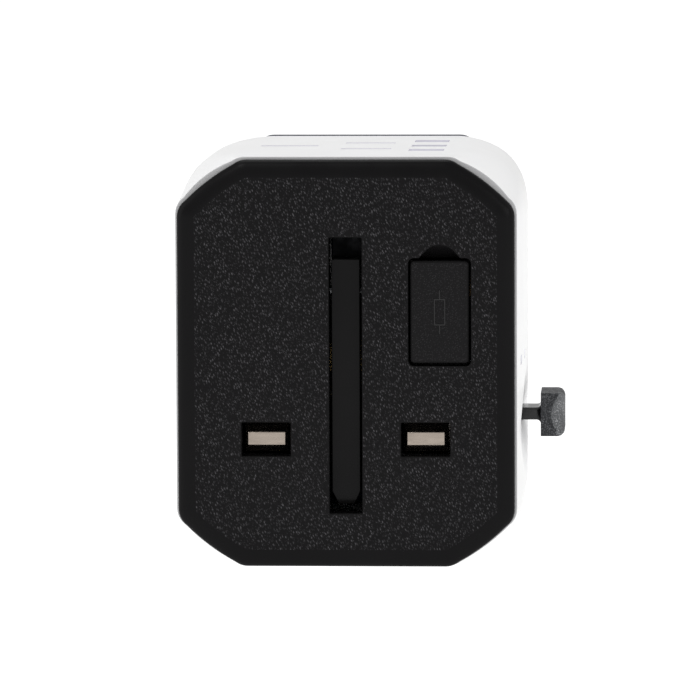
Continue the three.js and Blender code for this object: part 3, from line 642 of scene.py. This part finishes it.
# Shallow marks on the right side: y from, y to, z from, z to, measured from the centre line.
SIDE_MARKS = [(-22.6, -19.4, -0.9, 0.4), (-13.4, -10.2, -0.9, 0.4)]
# Shallow marks on top: x from, x to, y from, y to.
TOP_MARKS = [
    (-13.4, -5.2, -6.0, -4.4), (-1.6, 5.6, -13.0, -11.6), (-1.6, 5.6, 1.0, 2.6),
    (8.2, 13.2, -17.0, -13.0), (8.2, 13.2, -7.0, -3.0), (8.2, 13.2, 4.0, 9.0),
]
MARK_DEPTH = 0.45
SIDE_MARK_SHARE = 0.5
MARK_EDGE = 0.14
# How deep a place in a mark must be before it takes the painted shade.
MARK_SHADE_START = 0.04

# How far the flats carry lines, and how far apart lines and stations are.
SIDE_FLAT = 18.6
SIDE_STEP = 2.4
TOP_FLAT = 13.5
TOP_STEP = 2.5
ALONG_STEP = 1.5
DISH_STEP_UP = 0.5
DISH_STEP_ALONG = 0.6

# The sleeve's finishes: plain white, then painted shade for the top marks, for the front lip and for the side
# marks.
SLEEVE_LOOKS = ("shell_white", "shell_marks", "shell_lip", "side_marks_painted_shade")
PLAIN, TOP_MARK_PAINTED_SHADE, LIP_PAINTED_SHADE, SIDE_MARK_PAINTED_SHADE = range(4)


def swell(y):
    t = max(0.0, (abs(y) - SWELL_FLAT) / (SLEEVE_BACK - SWELL_FLAT))
    return 1 - min(1.0, t) ** SWELL_POWER


def smooth(t):
    t = min(1.0, max(0.0, t))
    return t * t * (3 - 2 * t)


def spaced(low, high, step, extra=(), fine=()):
    """Sorted places from low to high, with finer stretches and extra places kept."""
    places = {round(p, 4) for p in extra}
    stretches = [(low, high, step), *fine]
    for start, stop, pitch in stretches:
        count = max(1, round((stop - start) / pitch))
        for i in range(count + 1):
            place = round(start + (stop - start) * i / count, 4)
            if all(abs(place - other) > pitch * 0.45 for other in places):
                places.add(place)
    return sorted(p for p in places if low - 1e-6 <= p <= high + 1e-6)


def mark_lines(marks, first):
    """Lines for the walls of the marks. first says which two of their values to use."""
    lines = []
    for mark in marks:
        low, high = mark[first:first + 2]
        lines += [low, low + MARK_EDGE / 2, low + MARK_EDGE, high - MARK_EDGE, high - MARK_EDGE / 2, high]
    return lines


def mark_depth(u, v, marks):
    """How deep the shallow marks are at a place, with soft walls."""
    deep = 0.0
    for u0, u1, v0, v1 in marks:
        near = min(u - u0, u1 - u, v - v0, v1 - v)
        deep = max(deep, smooth(near / MARK_EDGE))
    return deep * MARK_DEPTH


def dish_depth(y, z):
    """The lens-shaped finger recess, and the rounded lip of the knob's slot."""
    start, stop = SLOT_FRONT - DISH_OVER, SLOT_REAR + DISH_OVER
    t = (y - start) / (stop - start)
    off = z - KNOB_Z
    deep = 0.0
    if 0 < t < 1:
        half = DISH_HALF * math.sin(math.pi * t)
        slope = DISH_HALF * math.pi / (stop - start) * math.cos(math.pi * t)
        gap = (half - abs(off)) / math.hypot(1, slope)
        deep = DISH_DEPTH * smooth(gap / DISH_EDGE)
    out = max(abs(off) - SLOT_HALF, SLOT_FRONT - y, y - SLOT_REAR)
    if out < SLOT_LIP:
        fall = min(1.0, max(0.0, 1 - out / SLOT_LIP))
        deep += SLOT_LIP * (1 - math.sqrt(max(0.0, 1 - fall ** 2)))
    return deep


def sleeve_ring(y, inset, lines, side=0.0, above=0.0, bow=CHAMFER_BOW):
    """The sleeve's outline at a station, between an end cover's outline and the belly's."""
    ends = chamfered_corner(CAP_HALF_W + side, CAP_HALF_H + above, inset, bow)
    level = swell(y)
    return ring_from_corner([blend_points(a, b, level) for a, b in zip(ends, belly_corner(inset))], *lines)


def sleeve_outer_ring(y, inset, lines):
    """The outer outline. At the front its upper half stands a little proud of the cover."""
    if y >= 0:
        return sleeve_ring(y, inset, lines)
    upper = sleeve_ring(y, inset, lines, FRONT_LIP_SIDE, FRONT_LIP_TOP, LIP_BOW)
    lower = sleeve_ring(y, inset, lines, FRONT_LIP_SIDE)
    return [a if a[1] > CENTRE_Z else b for a, b in zip(upper, lower)]


def side_lines():
    """Heights of the points on the flat sides, closer together where there is detail."""
    slot = [KNOB_Z + side * (SLOT_HALF + out) for side in (-1, 1) for out in SLOT_LIP_LINES]
    dish = (KNOB_Z - DISH_HALF, KNOB_Z + DISH_HALF, DISH_STEP_UP)
    return spaced(-SIDE_FLAT, SIDE_FLAT, SIDE_STEP, slot + mark_lines(SIDE_MARKS, 2), [dish])


def top_lines():
    """Places across of the points on the flat top and bottom."""
    return spaced(-TOP_FLAT, TOP_FLAT, TOP_STEP, mark_lines(TOP_MARKS, 0))


def sleeve_stations():
    """Places along the sleeve, with how far the rounded ends draw the outline in."""
    marks = mark_lines(TOP_MARKS, 2) + mark_lines(SIDE_MARKS, 0)
    slot = [SLOT_FRONT - out for out in SLOT_LIP_LINES] + [SLOT_REAR + out for out in SLOT_LIP_LINES]
    dish = (SLOT_FRONT - DISH_OVER, SLOT_REAR + DISH_OVER, DISH_STEP_ALONG)
    along = spaced(SLEEVE_FRONT + SLEEVE_EDGE, SLEEVE_BACK - SLEEVE_EDGE, ALONG_STEP, marks + slot, [dish])
    rounded = [(SLEEVE_EDGE * back, SLEEVE_EDGE * inset) for inset, back in quarter(ROUND_STEPS)[:-1]]
    ahead = [(SLEEVE_FRONT + back, inset) for back, inset in rounded]
    behind = [(SLEEVE_BACK - back, inset) for back, inset in reversed(rounded)]
    return ahead + [(y, 0.0) for y in along] + behind


def nearest(places, target):
    return min(range(len(places)), key=lambda i: abs(places[i] - target))


def sleeve_points(y, inset, lines, top_start):
    """The outer outline at a station, with the recess, the slot's lip and the marks pressed in."""
    right, top = lines
    points = []
    for index, (x, z) in enumerate(sleeve_outer_ring(y, inset, lines)):
        if index < len(right):
            mark = mark_depth(y, z - CENTRE_Z, SIDE_MARKS)
            x -= dish_depth(y, z - CENTRE_Z) + mark * SIDE_MARK_SHARE
        elif 0 <= index - top_start < len(top):
            z -= mark_depth(x, y, TOP_MARKS)
        points.append((x, y, z))
    return points


# Picks the finish of an outer face: painted shade grey on the front lip, painted shade on the marks' walls
# and floors, else plain white.
def sleeve_finish(station, centre, on_side, on_top):
    x, y, z = centre
    if station < SHADED_LIP_STATIONS:
        return LIP_PAINTED_SHADE
    if on_top and mark_depth(x, y, TOP_MARKS) > MARK_SHADE_START:
        return TOP_MARK_PAINTED_SHADE
    if on_side and mark_depth(y, z - CENTRE_Z, SIDE_MARKS) > MARK_SHADE_START:
        return SIDE_MARK_PAINTED_SHADE
    return PLAIN


def slot_outline(start, stop, low, high):
    """The slot's outline as stations and places round the ring, in order."""
    there = [(r, low) for r in range(start, stop)] + [(stop, i) for i in range(low, high)]
    back = [(r, high) for r in range(stop, start, -1)] + [(start, i) for i in range(high, low, -1)]
    return there + back


def sleeve():
    right, top, stations = side_lines(), top_lines(), sleeve_stations()
    top_start = len(right) + 2 * FILLET_STEPS + CHAMFER_STEPS + 1
    form, outer, inner = Form(), [], []
    for y, inset in stations:
        outer.append(form.ring(sleeve_points(y, inset, (right, top), top_start)))
        inner.append(form.at(sleeve_ring(y, WALL, (right, top)), y))
    low, high = nearest(right, KNOB_Z - SLOT_HALF), nearest(right, KNOB_Z + SLOT_HALF)
    places = [y for y, _ in stations]
    start, stop = nearest(places, SLOT_FRONT), nearest(places, SLOT_REAR)
    count = len(outer[0])
    for r in range(len(stations) - 1):
        for i in range(count):
            j = (i + 1) % count
            if start <= r < stop and low <= i < high:
                continue
            corners = (outer[r][i], outer[r][j], outer[r + 1][j], outer[r + 1][i])
            centre = centre_of([form.points[k] for k in corners])
            on_top = 0 <= i - top_start < len(top) - 1
            form.face(corners, sleeve_finish(r, centre, i < len(right) - 1, on_top))
            form.face((inner[r][i], inner[r][j], inner[r + 1][j], inner[r + 1][i]))
    # The sleeve's front face takes the grey painted shade.
    form.bridge(outer[0], inner[0], LIP_PAINTED_SHADE)
    form.bridge(outer[-1], inner[-1])
    edge = slot_outline(start, stop, low, high)
    form.bridge([outer[r][i] for r, i in edge], [inner[r][i] for r, i in edge])
    form.piece("white_sleeve", "casing", SLEEVE_LOOKS, "shell_sleeve", sharp=40)


# ---- End covers ----
# The side that shows, the skirt that fits into the sleeve, and the plate between them.
SIDE_GAP = 0.1
FIT = 0.15
SKIRT = 6.0
SKIRT_WALL = 1.5
PLATE = 2.6
RIM_STEPS = 8
HOLE_FILLET = 0.16
HOLE_STEPS = 3
COLLAR_ROUND = 0.6


class Hole:
    """An opening in an end cover: its outline, how deep its walls run, and how thick its collar is."""

    def __init__(self, loop, depth=PLATE, fillet=HOLE_FILLET, collar=0.0):
        self.loop = loop if area(loop) > 0 else loop[::-1]
        self.depth = depth
        self.fillet = fillet
        self.collar = collar


def round_box(box, gap_x, gap_z, radius):
    """A rounded rectangle round a box seen along Y, with a gap on each side."""
    centre, size = middle(box), box[1] - box[0]
    return rounded_rect(centre.x, centre.z, size.x + 2 * gap_x, size.z + 2 * gap_z, radius)


def rim_rings(form, place, width, drop, proud):
    """The rounded rim, the side and the skirt, from the flat face round to the back of the plate."""
    rings = [form.at(cap_outline(width * a, proud), place(drop * b)) for a, b in quarter(RIM_STEPS)]
    side, fitted, thick = SLEEVE_FRONT - FRONT - SIDE_GAP, WALL + FIT, WALL + FIT + SKIRT_WALL
    rings.append(form.at(cap_outline(0, proud), place(side)))
    for inset, depth in ((fitted, side), (fitted, SKIRT), (thick, SKIRT), (thick, PLATE)):
        rings.append(form.at(cap_outline(inset), place(depth)))
    form.chain(rings)
    return rings


def hole_rings(form, place, hole):
    """The walls and collar of an opening. Returns the rings that it cuts in the plate."""
    edge = hole.fillet
    rings = [form.at(grow(hole.loop, edge * a), place(edge * b)) for a, b in quarter(HOLE_STEPS)]
    rings.append(form.at(hole.loop, place(hole.depth)))
    form.chain(rings)
    if not hole.collar:
        return rings[0], rings[-1]
    xs, zs = zip(*hole.loop)
    ends = (Vector((min(xs), 0, min(zs))), Vector((max(xs), 0, max(zs))))
    wide = round_box(ends, hole.collar, hole.collar, COLLAR_ROUND)
    end = form.at(wide, place(hole.depth))
    root = form.at(wide, place(PLATE))
    form.fill(end, [rings[-1]])
    form.chain([end, root])
    return rings[0], root


def cover(name, face_y, toward, holes, looks, rim, proud=0.0, extras=None):
    """An end cover as one closed solid: rounded rim, skirt, plate, and filleted openings."""
    form = Form()

    def place(depth):
        return face_y + toward * depth

    rings = rim_rings(form, place, *rim, proud)
    cuts = [hole_rings(form, place, hole) for hole in holes]
    form.fill(rings[0], [front for front, _ in cuts], 1)
    form.fill(rings[-1], [back for _, back in cuts])
    if extras:
        extras(form)
    form.piece(name, "casing", looks, f"{name}_cover", looks[1])


# ---- Plug face ----
# Rims are a width and a drop.
PLUG_RIM = (2.45, 1.1)
SLOT_W = 4.55
SLOT_ABOVE = 3.1
SLOT_BELOW = 1.12
SLOT_ROUND = 0.15
PIN_HOLE = (6.84, 4.7)
PIN_HOLE_ROUND = 0.12

# The opening round the fuse cover, and the thumbnail notch above it.
HOLE_GAP_X = 0.245
HOLE_GAP_Z = 0.35
FUSE_X = middle(DRAWER_BOX).x
FUSE_TOP = DRAWER_BOX[1].z + HOLE_GAP_Z
FUSE_ROUND = 0.75
FUSE_FILLET = 0.12
NAIL_CHORD = 5.1
NAIL_HEIGHT = 1.8
NAIL_FLARE = 0.125
NAIL_STEPS = 18
NAIL_OVERLAP = 0.4
NAIL_NARROW = 0.4
NAIL_DEPTHS = (0.45, 1.9)
PLATE_LEFT = 0.1
CHORD_DROP = 0.02


def nail_arc():
    """The edge of the thumbnail notch, from its right end to its left."""
    radius = (NAIL_CHORD ** 2 / 4 + NAIL_HEIGHT ** 2) / (2 * NAIL_HEIGHT)
    half = math.asin(NAIL_CHORD / 2 / radius)
    low = FUSE_TOP + NAIL_HEIGHT - radius
    arc = []
    for i in range(NAIL_STEPS + 1):
        t = 2 * i / NAIL_STEPS - 1
        flare = 1 + NAIL_FLARE * abs(t) ** 6
        arc.append((FUSE_X - radius * math.sin(half * t) * flare, low + radius * math.cos(half * t)))
    return arc


def nail_scoop(form):
    """The sloping floor of the thumbnail notch."""
    arc = nail_arc()
    chord = [(x, FUSE_TOP - CHORD_DROP) for x, _ in arc]
    depths = (*NAIL_DEPTHS, PLATE - PLATE_LEFT, PLATE - PLATE_LEFT)
    rings = [form.at(loop, FRONT + depth) for loop, depth in zip((arc, chord, chord, arc), depths)]
    for i in range(NAIL_STEPS):
        for a, b in zip(rings, rings[1:] + rings[:1]):
            form.face((a[i], a[i + 1], b[i + 1], b[i]))
    for i in (0, NAIL_STEPS):
        form.face([ring[i] for ring in rings])


def plug_face():
    low, narrow = DRAWER_BOX[1].z - NAIL_OVERLAP, NAIL_CHORD * NAIL_NARROW
    nail = nail_arc() + [(FUSE_X - narrow, low), (FUSE_X + narrow, low)]
    opening = round_box(DRAWER_BOX, HOLE_GAP_X, HOLE_GAP_Z, FUSE_ROUND)
    holes = [Hole(union([opening, nail]), fillet=FUSE_FILLET)]
    for side in (-1, 1):
        holes.append(Hole(rounded_rect(side * PIN_X, PIN_Z, *PIN_HOLE, PIN_HOLE_ROUND, 3)))
    top, bottom = EARTH_BOX[1].z + SLOT_ABOVE, EARTH_BOX[0].z - SLOT_BELOW
    holes.append(Hole(rounded_rect(0, (top + bottom) / 2, SLOT_W, top - bottom, SLOT_ROUND, 3)))
    cover("plug_face", FRONT, 1, holes, ("rim_black", "face_black"), PLUG_RIM, extras=nail_scoop)


# ---- Socket face ----
SOCKET_RIM = (1.6, 0.5)
SOCKET_PROUD = 0.11
# Three slots that meet in each universal aperture: across, up, width, height, corner, and turn in degrees.
APERTURE = [(10.5, 0, 8.6, 4.9, 0.4, 0), (6.4, 0, 2.3, 7.8, 0.3, 0), (7.6, 1.64, 2.2, 6.0, 0.3, 30)]
EARTH_RISE = 22.2
EARTH_HOLE = (5.2, 9.0, 0.5)
# Depth, fillet and collar of the openings for pins.
PIN_WALLS = (4.6, 0.3, 0.9)
USB_GAP = 0.2
USB_HOLE_ROUND = 0.7
USB_FILLET = 0.35
LENS_HOLE = 1.2
LENS_FILLET = 0.25


def socket_face():
    line_z = middle(node_box("neutral_contact")).z
    holes = []
    for side in (-1, 1):
        slots = []
        for across, up, width, height, corner, turn in APERTURE:
            x, z = side * across, line_z + up
            slots.append(turned(rounded_rect(x, z, width, height, corner, 3), x, z, side * turn))
        holes.append(Hole(union(slots), *PIN_WALLS))
    holes.append(Hole(rounded_rect(0, line_z + EARTH_RISE, *EARTH_HOLE), *PIN_WALLS))
    for port in ("usb_port_1", "usb_port_2"):
        loop = round_box(node_box(port), USB_GAP, USB_GAP, USB_HOLE_ROUND)
        holes.append(Hole(loop, fillet=USB_FILLET))
    lens_centre = middle(node_box("light_pipe"))
    holes.append(Hole(circle(lens_centre.x, lens_centre.z, LENS_HOLE, 32), fillet=LENS_FILLET))
    cover("socket_face", BACK, -1, holes, ("cap_navy_rim", "cap_navy"), SOCKET_RIM, SOCKET_PROUD)


# ---- Fuse drawer ----
COVER_RECESS = 0.12
COVER_EDGE = 0.28
COVER_ROUND = 0.6
COVER_DEPTH = 1.8
COVER_STEPS = 4

# The sign on the cover: half its box, its leads, its line, and how it stands out.
SIGN_W = 0.85
SIGN_H = 1.9
SIGN_LEAD = 1.2
SIGN_LINE = 0.28
SIGN_SLOPE = 0.05
SIGN_RISE = 0.11

TUBE_EDGE = 0.15
# A fuse cap's outline: share of its radius, and distance from its tip, then from its root.
CAP_TIP = [
    (0, 0), (0.82, 0), (0.93, 0.08), (0.985, 0.25), (1, 0.55), (1, 3.4), (0.965, 3.6), (0.965, 3.9), (1, 4.1),
]
CAP_ROOT = [(1, 0.1), (0.97, 0), (0, 0)]


def fuse_sign(x, z):
    """The circuit sign for a fuse: a long box with a lead at each end."""
    thin, lead = SIGN_LINE / 2, SIGN_H + SIGN_LEAD
    half = [(SIGN_W, -SIGN_H), (SIGN_W, SIGN_H), (thin, SIGN_H), (thin, lead), (-thin, lead), (-thin, SIGN_H)]
    outer = [(x + way * px, z + way * pz) for way in (1, -1) for px, pz in half]
    inner = rounded_rect(x, z, 2 * (SIGN_W - SIGN_LINE), 2 * (SIGN_H - SIGN_LINE), 0.05, 1)
    return outer, inner


def fuse_cover():
    """The drawer's front plate, with the sign raised on it."""
    loop = round_box(DRAWER_BOX, 0, 0, COVER_ROUND)
    face = FRONT + COVER_RECESS
    form = Form()
    rings = [form.at(grow(loop, -COVER_EDGE * a), face + COVER_EDGE * b) for a, b in quarter(COVER_STEPS)]
    rings.append(form.at(loop, FRONT + COVER_DEPTH))
    form.chain(rings)
    form.fill(rings[-1])
    grounds, crests = [], []
    for line, slope in zip(fuse_sign(FUSE_X, middle(DRAWER_BOX).z), (-SIGN_SLOPE, SIGN_SLOPE)):
        grounds.append(form.at(line, face))
        crests.append(form.at(grow(line, slope), face - SIGN_RISE))
        form.chain([grounds[-1], crests[-1]], 1)
    form.fill(crests[0], crests[1:], 2)
    form.fill(grounds[1], (), 1)
    form.fill(rings[0], grounds[:1], 1)
    looks = ("rim_black", "fuse_black", "symbol_black")
    form.piece("fuse_cover", "fuse_drawer", looks, "fuse_drawer", "face_black")


def lathe(name, body, look, node, profile, x, z):
    """A turned piece along Y. The profile is a list of (radius, y) that starts and ends on the axis."""
    form = Form()
    form.solid([form.at(circle(x, z, max(radius, 0.01), 40), y) for radius, y in profile])
    form.piece(name, body, [look], node, sharp=38)


def fuses():
    for fuse in ("working_fuse", "spare_fuse"):
        node = f"{fuse}_tube"
        low, high = node_box(node)
        x, z = middle((low, high)).x, middle((low, high)).z
        radius = (high.x - low.x) / 2
        end = [(0, 0), (radius - TUBE_EDGE, 0), (radius, TUBE_EDGE)]
        profile = [(r, low.y + y) for r, y in end] + [(r, high.y - y) for r, y in reversed(end)]
        lathe(f"{fuse}_barrel", "fuse_drawer", "fuse_ceramic", node, profile, x, z)
        for where in ("front", "rear"):
            node = f"{fuse}_{where}_cap"
            low, high = node_box(node)
            tip, root, inward = (low.y, high.y, 1) if where == "front" else (high.y, low.y, -1)
            radius = (high.z - low.z) / 2
            profile = [(radius * share, tip + inward * y) for share, y in CAP_TIP]
            profile += [(radius * share, root - inward * y) for share, y in CAP_ROOT]
            lathe(f"{fuse}_{where}_ferrule", "fuse_drawer", "pin_nickel", node, profile, x, z)


# ---- Release knob ----
KNOB_SIDE = KNOB_BOX[1].x
HEAD_DEPTH = 3.5
HEAD_HALF_Y = 4.2
HEAD_HALF_Z = PIN_Z - KNOB_BOX[0].z - 0.2
HEAD_ROUND = 0.95
HEAD_LEVELS = 20
HEAD_INNER = KNOB_SIDE - HEAD_DEPTH
KNOB_Y = KNOB_BOX[0].y + HEAD_HALF_Y

# The scooped slopes: least depth and run at the corners, and what the middle adds.
SCOOP_LEAST = (0.25, 0.3)
SCOOP_MORE = (1.75, 2.4)
SCOOP_POWER = 0.8
SCOOP_PULL = 0.35
SCOOP_LEAD = 0.35
SCOOP_STEPS = 6
# Places round the grip's outline that belong to the slopes. They take a lighter copy of the grip's finish:
# painted light.
LIT_SCOOP_FACES = (*range(2, 9), *range(11, 18))

# The ribs' pitch, half their width and height, and how deep they stand in the grip.
RIB_PITCH = 0.8
RIB_HALF = (0.15, 1.7)
RIB_ROOT = 0.3

STEM_LINES = (20.0, 22.0, 24.0)
STEM_HALF = (3.0, 0.9)
STEM_FLARE = 0.6
STEM_FLARE_SHARE = 0.6
STEM_OVERLAP = 0.2
STEM_STEPS = 6
# Lowest and highest corner, with y and z from the stem's middle.
SHOULDER = ((18.6, -3.3, -1.4), (20.2, 3.3, 4.4))
FINGER = ((KNOB_BOX[0].x, -3.2, 2.4), (18.7, 0.5, 4.4))


def grip_end(z):
    """One end of the grip's outline at a height, from the stem's side to the outer face."""
    over = max(0.0, abs(z) - (HEAD_HALF_Z - HEAD_ROUND))
    outer = KNOB_SIDE - HEAD_ROUND + math.sqrt(max(0.0, HEAD_ROUND ** 2 - over ** 2))
    share = max(0.0, 1 - (z / HEAD_HALF_Z) ** 2) ** SCOOP_POWER
    scoop, run = (least + more * share for least, more in zip(SCOOP_LEAST, SCOOP_MORE))
    end = HEAD_HALF_Y
    pull = (outer - scoop * SCOOP_PULL, end - run * SCOOP_PULL)
    low, high = (outer - scoop, end), (outer, end - run)
    slope = [bezier(low, pull, high, k / SCOOP_STEPS) for k in range(SCOOP_STEPS + 1)]
    return [(HEAD_INNER, end), (outer - scoop - SCOOP_LEAD, end), *slope, (outer, (end - run) / 2)]


def knob_head():
    """The thumb grip: rounded along its outer corners, with a scooped slope at each end. The slopes are
    coloured lighter as painted light.
    """
    form = Form()
    rings = []
    for i in range(HEAD_LEVELS + 1):
        z = HEAD_HALF_Z * math.sin((2 * i / HEAD_LEVELS - 1) * math.pi / 2)
        end = grip_end(z)
        loop = [(x, KNOB_Y - y, PIN_Z + z) for x, y in end]
        loop += [(x, KNOB_Y + y, PIN_Z + z) for x, y in reversed(end)]
        rings.append(form.ring(loop))
    form.solid(rings)
    # The slopes take the lighter finish: painted light.
    form.finishes = [int(number % len(rings[0]) in LIT_SCOOP_FACES) for number in range(len(form.faces))]
    looks = ("knob_grey", "knob_scoop_painted_light")
    form.piece("knob_head", "release_knob", looks, "release_knob", sharp=50, bevel=0.12, bevel_angle=48)


def knob_ribs():
    """Three low ribs across the outer face of the grip."""
    half_y, half_z = RIB_HALF
    form = Form()
    for step in (-1, 0, 1):
        y = KNOB_Y + step * RIB_PITCH
        low = (KNOB_SIDE - RIB_ROOT, y - half_y, PIN_Z - half_z)
        form.block(low, (KNOB_SIDE, y + half_y, PIN_Z + half_z))
    form.piece("knob_ribs", "release_knob", ["knob_grey"], bevel=0.07)


def knob_stem():
    """The flat stem, flared where it meets the head, with the shoulder and finger inside the sleeve."""
    places = [(x, 0.0) for x in STEM_LINES]
    places += [(HEAD_INNER - STEM_FLARE * a, STEM_FLARE * b) for a, b in quarter(STEM_STEPS)]
    places.append((HEAD_INNER + STEM_OVERLAP, STEM_FLARE))
    half_y, half_z = STEM_HALF
    form = Form()
    rings = []
    for x, flare in places:
        length, height = 2 * (half_y + STEM_FLARE_SHARE * flare), 2 * (half_z + flare)
        loop = rounded_rect(KNOB_Y, PIN_Z, length, height, 0.3, 4)
        rings.append(form.ring([(x, y, z) for y, z in loop]))
    form.solid(rings)
    for block in (SHOULDER, FINGER):
        form.block(*[(x, KNOB_Y + y, PIN_Z + z) for x, y, z in block])
    form.piece("knob_stem", "release_knob", ["stem_black"], "release_knob", "pin_black", sharp=40)


# ---- USB ports and light pipe ----
USB_ROUND = 0.55
USB_SHEET = 0.3
USB_FLOOR = 0.8
# How far the shell's outer and inner edges are rounded off: back from the front, and across.
USB_OUTER_EDGE = (0.1, 0.1)
USB_INNER_EDGE = (0.12, 0.08)
# Contact pads: places across, half width, ends back from the tongue's tip, lowest and highest z.
PADS = (-3.5, -1.0, 1.0, 3.5)
PAD_HALF = 0.5
PAD_ENDS = (7.5, 0.5)
PAD_Z = (-0.17, 0.03)
# The lens's domed end: share of its radius, and distance from its tip.
DOME = [(1, 0.35), (0.9, 0.15), (0.6, 0.04), (0, 0)]


def usb_shell(which):
    box = node_box(f"usb_port_{which}")
    front, rear = box[1].y, box[0].y
    outer = round_box(box, 0, 0, USB_ROUND)
    inner = grow(outer, -USB_SHEET)
    form = Form()
    rings = [
        form.at(outer, rear),
        form.at(outer, front - USB_OUTER_EDGE[0]),
        form.at(grow(outer, -USB_OUTER_EDGE[1]), front),
        form.at(grow(inner, USB_INNER_EDGE[1]), front),
        form.at(inner, front - USB_INNER_EDGE[0]),
        form.at(inner, rear + USB_FLOOR),
    ]
    form.chain(rings)
    form.fill(rings[0])
    form.fill(rings[-1])
    form.piece(f"usb_shell_{which}", "casing", ["steel"], f"usb_port_{which}")


def usb_ports():
    for which in (1, 2):
        usb_shell(which)
        node = f"usb_tongue_{which}"
        tongue = node_box(node)
        refined(node, f"usb_insert_{which}", "casing", "component_black", 0.12)
        pads = Form()
        low, high = [(tongue[1].y - back, middle(tongue).z + z) for back, z in zip(PAD_ENDS, PAD_Z)]
        for across in PADS:
            x = middle(tongue).x + across
            pads.block((x - PAD_HALF, *low), (x + PAD_HALF, *high))
        pads.piece(f"usb_contacts_{which}", "casing", ["contact_gold"], slot="brass", bevel=0.05)


def lens():
    low, high = node_box("light_pipe")
    radius = (high.x - low.x) / 2
    rows = [(0, low.y), (radius, low.y)] + [(radius * share, high.y - back) for share, back in DOME]
    centre = middle((low, high))
    lathe("status_lens", "casing", "led_clear", "light_pipe", rows, centre.x, centre.z)


# ---- Coil springs ----
# Node, body, the joint that presses it, its axis, its fixed end (0 low, 1 high), and the share it keeps.
SPRINGS = [
    ("knob_spring", "pin_carriage", "knob_press", (1, 0, 0), 0, 0.76),
    ("shutter_spring_1", "casing", "shutter_lift", (0, 0, 1), 1, 0.515),
    ("shutter_spring_2", "casing", "shutter_lift", (0, 0, 1), 1, 0.515),
]


def springs():
    """Copies of the CAD coils in steel, each with a mesh of its own."""
    for node, body, joint, axis, fixed_end, keep in SPRINGS:
        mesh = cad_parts[node].data.copy()
        mesh.materials.clear()
        coil = finished(mesh, f"{node}_coil", body, ["steel"], node)
        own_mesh(coil)


# ---- Pieces that keep the CAD's shape ----
# Where the fuse tray starts, behind its cover.
TRAY_FROM = FRONT + 1.75


def rounded_pieces():
    """The pins, the shutter and the fuse tray, with their edges rounded."""
    for which in ("live", "neutral"):
        refined(f"{which}_pin", f"{which}_blade", "pin_carriage", "pin_nickel", 0.14)
        refined(f"{which}_pin_sleeve", f"{which}_blade_sleeve", "pin_carriage", "pin_black", 0.16)
    refined("earth_pin", "earth_blade", "earth_pin", "pin_black", 0.22)
    refined("socket_shutter", "shutter_flaps", "socket_shutter", "inner_white", 0.25)
    refined("fuse_drawer", "fuse_tray", "fuse_drawer", "fuse_black", 0.14, TRAY_FROM)


# ---- Stage ----
# The camera, in millimetres and degrees.
AIM = Vector((0.64, FRONT, 30.95))
AZIMUTH = 3.1
ELEVATION = 5.5
ROLL = -0.22
DISTANCE = 750.0
SENSOR = 36.0
LENS = 277.7

# The white ground and the even light round it.
FLOOR_HALF = 6.0
FLOOR_ALBEDO = 0.3
FLOOR_GLOW = 0.93
WORLD_STRENGTH = 0.56
WHITE = (1, 1, 1, 1)

# Name, place and size in metres, and watts.
SOFTBOXES = [
    ("softbox_top", (-0.1, 0.15, 0.9), (0.5, 0.5), 2.2),
    ("softbox_right", (0.88, -0.12, 0.38), (0.6, 0.8), 1.0),
    ("softbox_left", (-0.9, -0.3, 0.4), (0.6, 0.8), 1.8),
    ("softbox_front", (0.6, -0.7, 0.3), (0.4, 0.4), 0.9),
    ("key", (-0.3, -0.62, 0.78), (0.2, 0.2), 1.6),
]


def camera():
    data = bpy.data.cameras.new("camera")
    data.sensor_width = SENSOR
    data.lens = LENS
    data.clip_start = 0.05
    data.clip_end = 30.0
    eye = linked("camera", data)
    az, el = math.radians(AZIMUTH), math.radians(ELEVATION)
    back = Vector((math.sin(az) * math.cos(el), -math.cos(az) * math.cos(el), math.sin(el)))
    turn = (-back).to_track_quat("-Z", "Y").to_matrix().to_4x4()
    roll = Matrix.Rotation(math.radians(ROLL), 4, "Z")
    eye.matrix_world = Matrix.Translation((AIM + back * DISTANCE) * MM) @ turn @ roll
    bpy.context.scene.camera = eye


def softbox(name, place, size, power):
    """A large soft light that faces the object."""
    data = bpy.data.lights.new(name, "AREA")
    data.shape = "RECTANGLE"
    data.size, data.size_y = size
    data.energy = power
    place = Vector(place)
    aim = Vector((0, 0, CENTRE_Z * MM))
    turn = (aim - place).to_track_quat("-Z", "Y").to_matrix().to_4x4()
    linked(name, data).matrix_world = Matrix.Translation(place) @ turn


def stage():
    grid = bmesh.new()
    bmesh.ops.create_grid(grid, x_segments=2, y_segments=2, size=FLOOR_HALF)
    mesh = bpy.data.meshes.new("floor")
    grid.to_mesh(mesh)
    grid.free()
    look = Nodes("floor_white", (FLOOR_ALBEDO,) * 3, 0.9, specular=0.0)
    look.shade(**{"Emission Color": WHITE, "Emission Strength": FLOOR_GLOW})
    mesh.materials.append(look.material)
    linked("floor", mesh)
    world = bpy.data.worlds.new("studio")
    world.use_nodes = True
    background = world.node_tree.nodes["Background"]
    background.inputs["Color"].default_value = WHITE
    background.inputs["Strength"].default_value = WORLD_STRENGTH
    bpy.context.scene.world = world
    for light in SOFTBOXES:
        softbox(*light)
    view = bpy.context.scene.view_settings
    view.view_transform = "Standard"
    view.look = "None"
    view.exposure = 0.0


paint_cad_nodes()
sleeve()
plug_face()
socket_face()
fuse_cover()
fuses()
knob_head()
knob_ribs()
knob_stem()
usb_ports()
lens()
springs()
rounded_pieces()
camera()
stage()
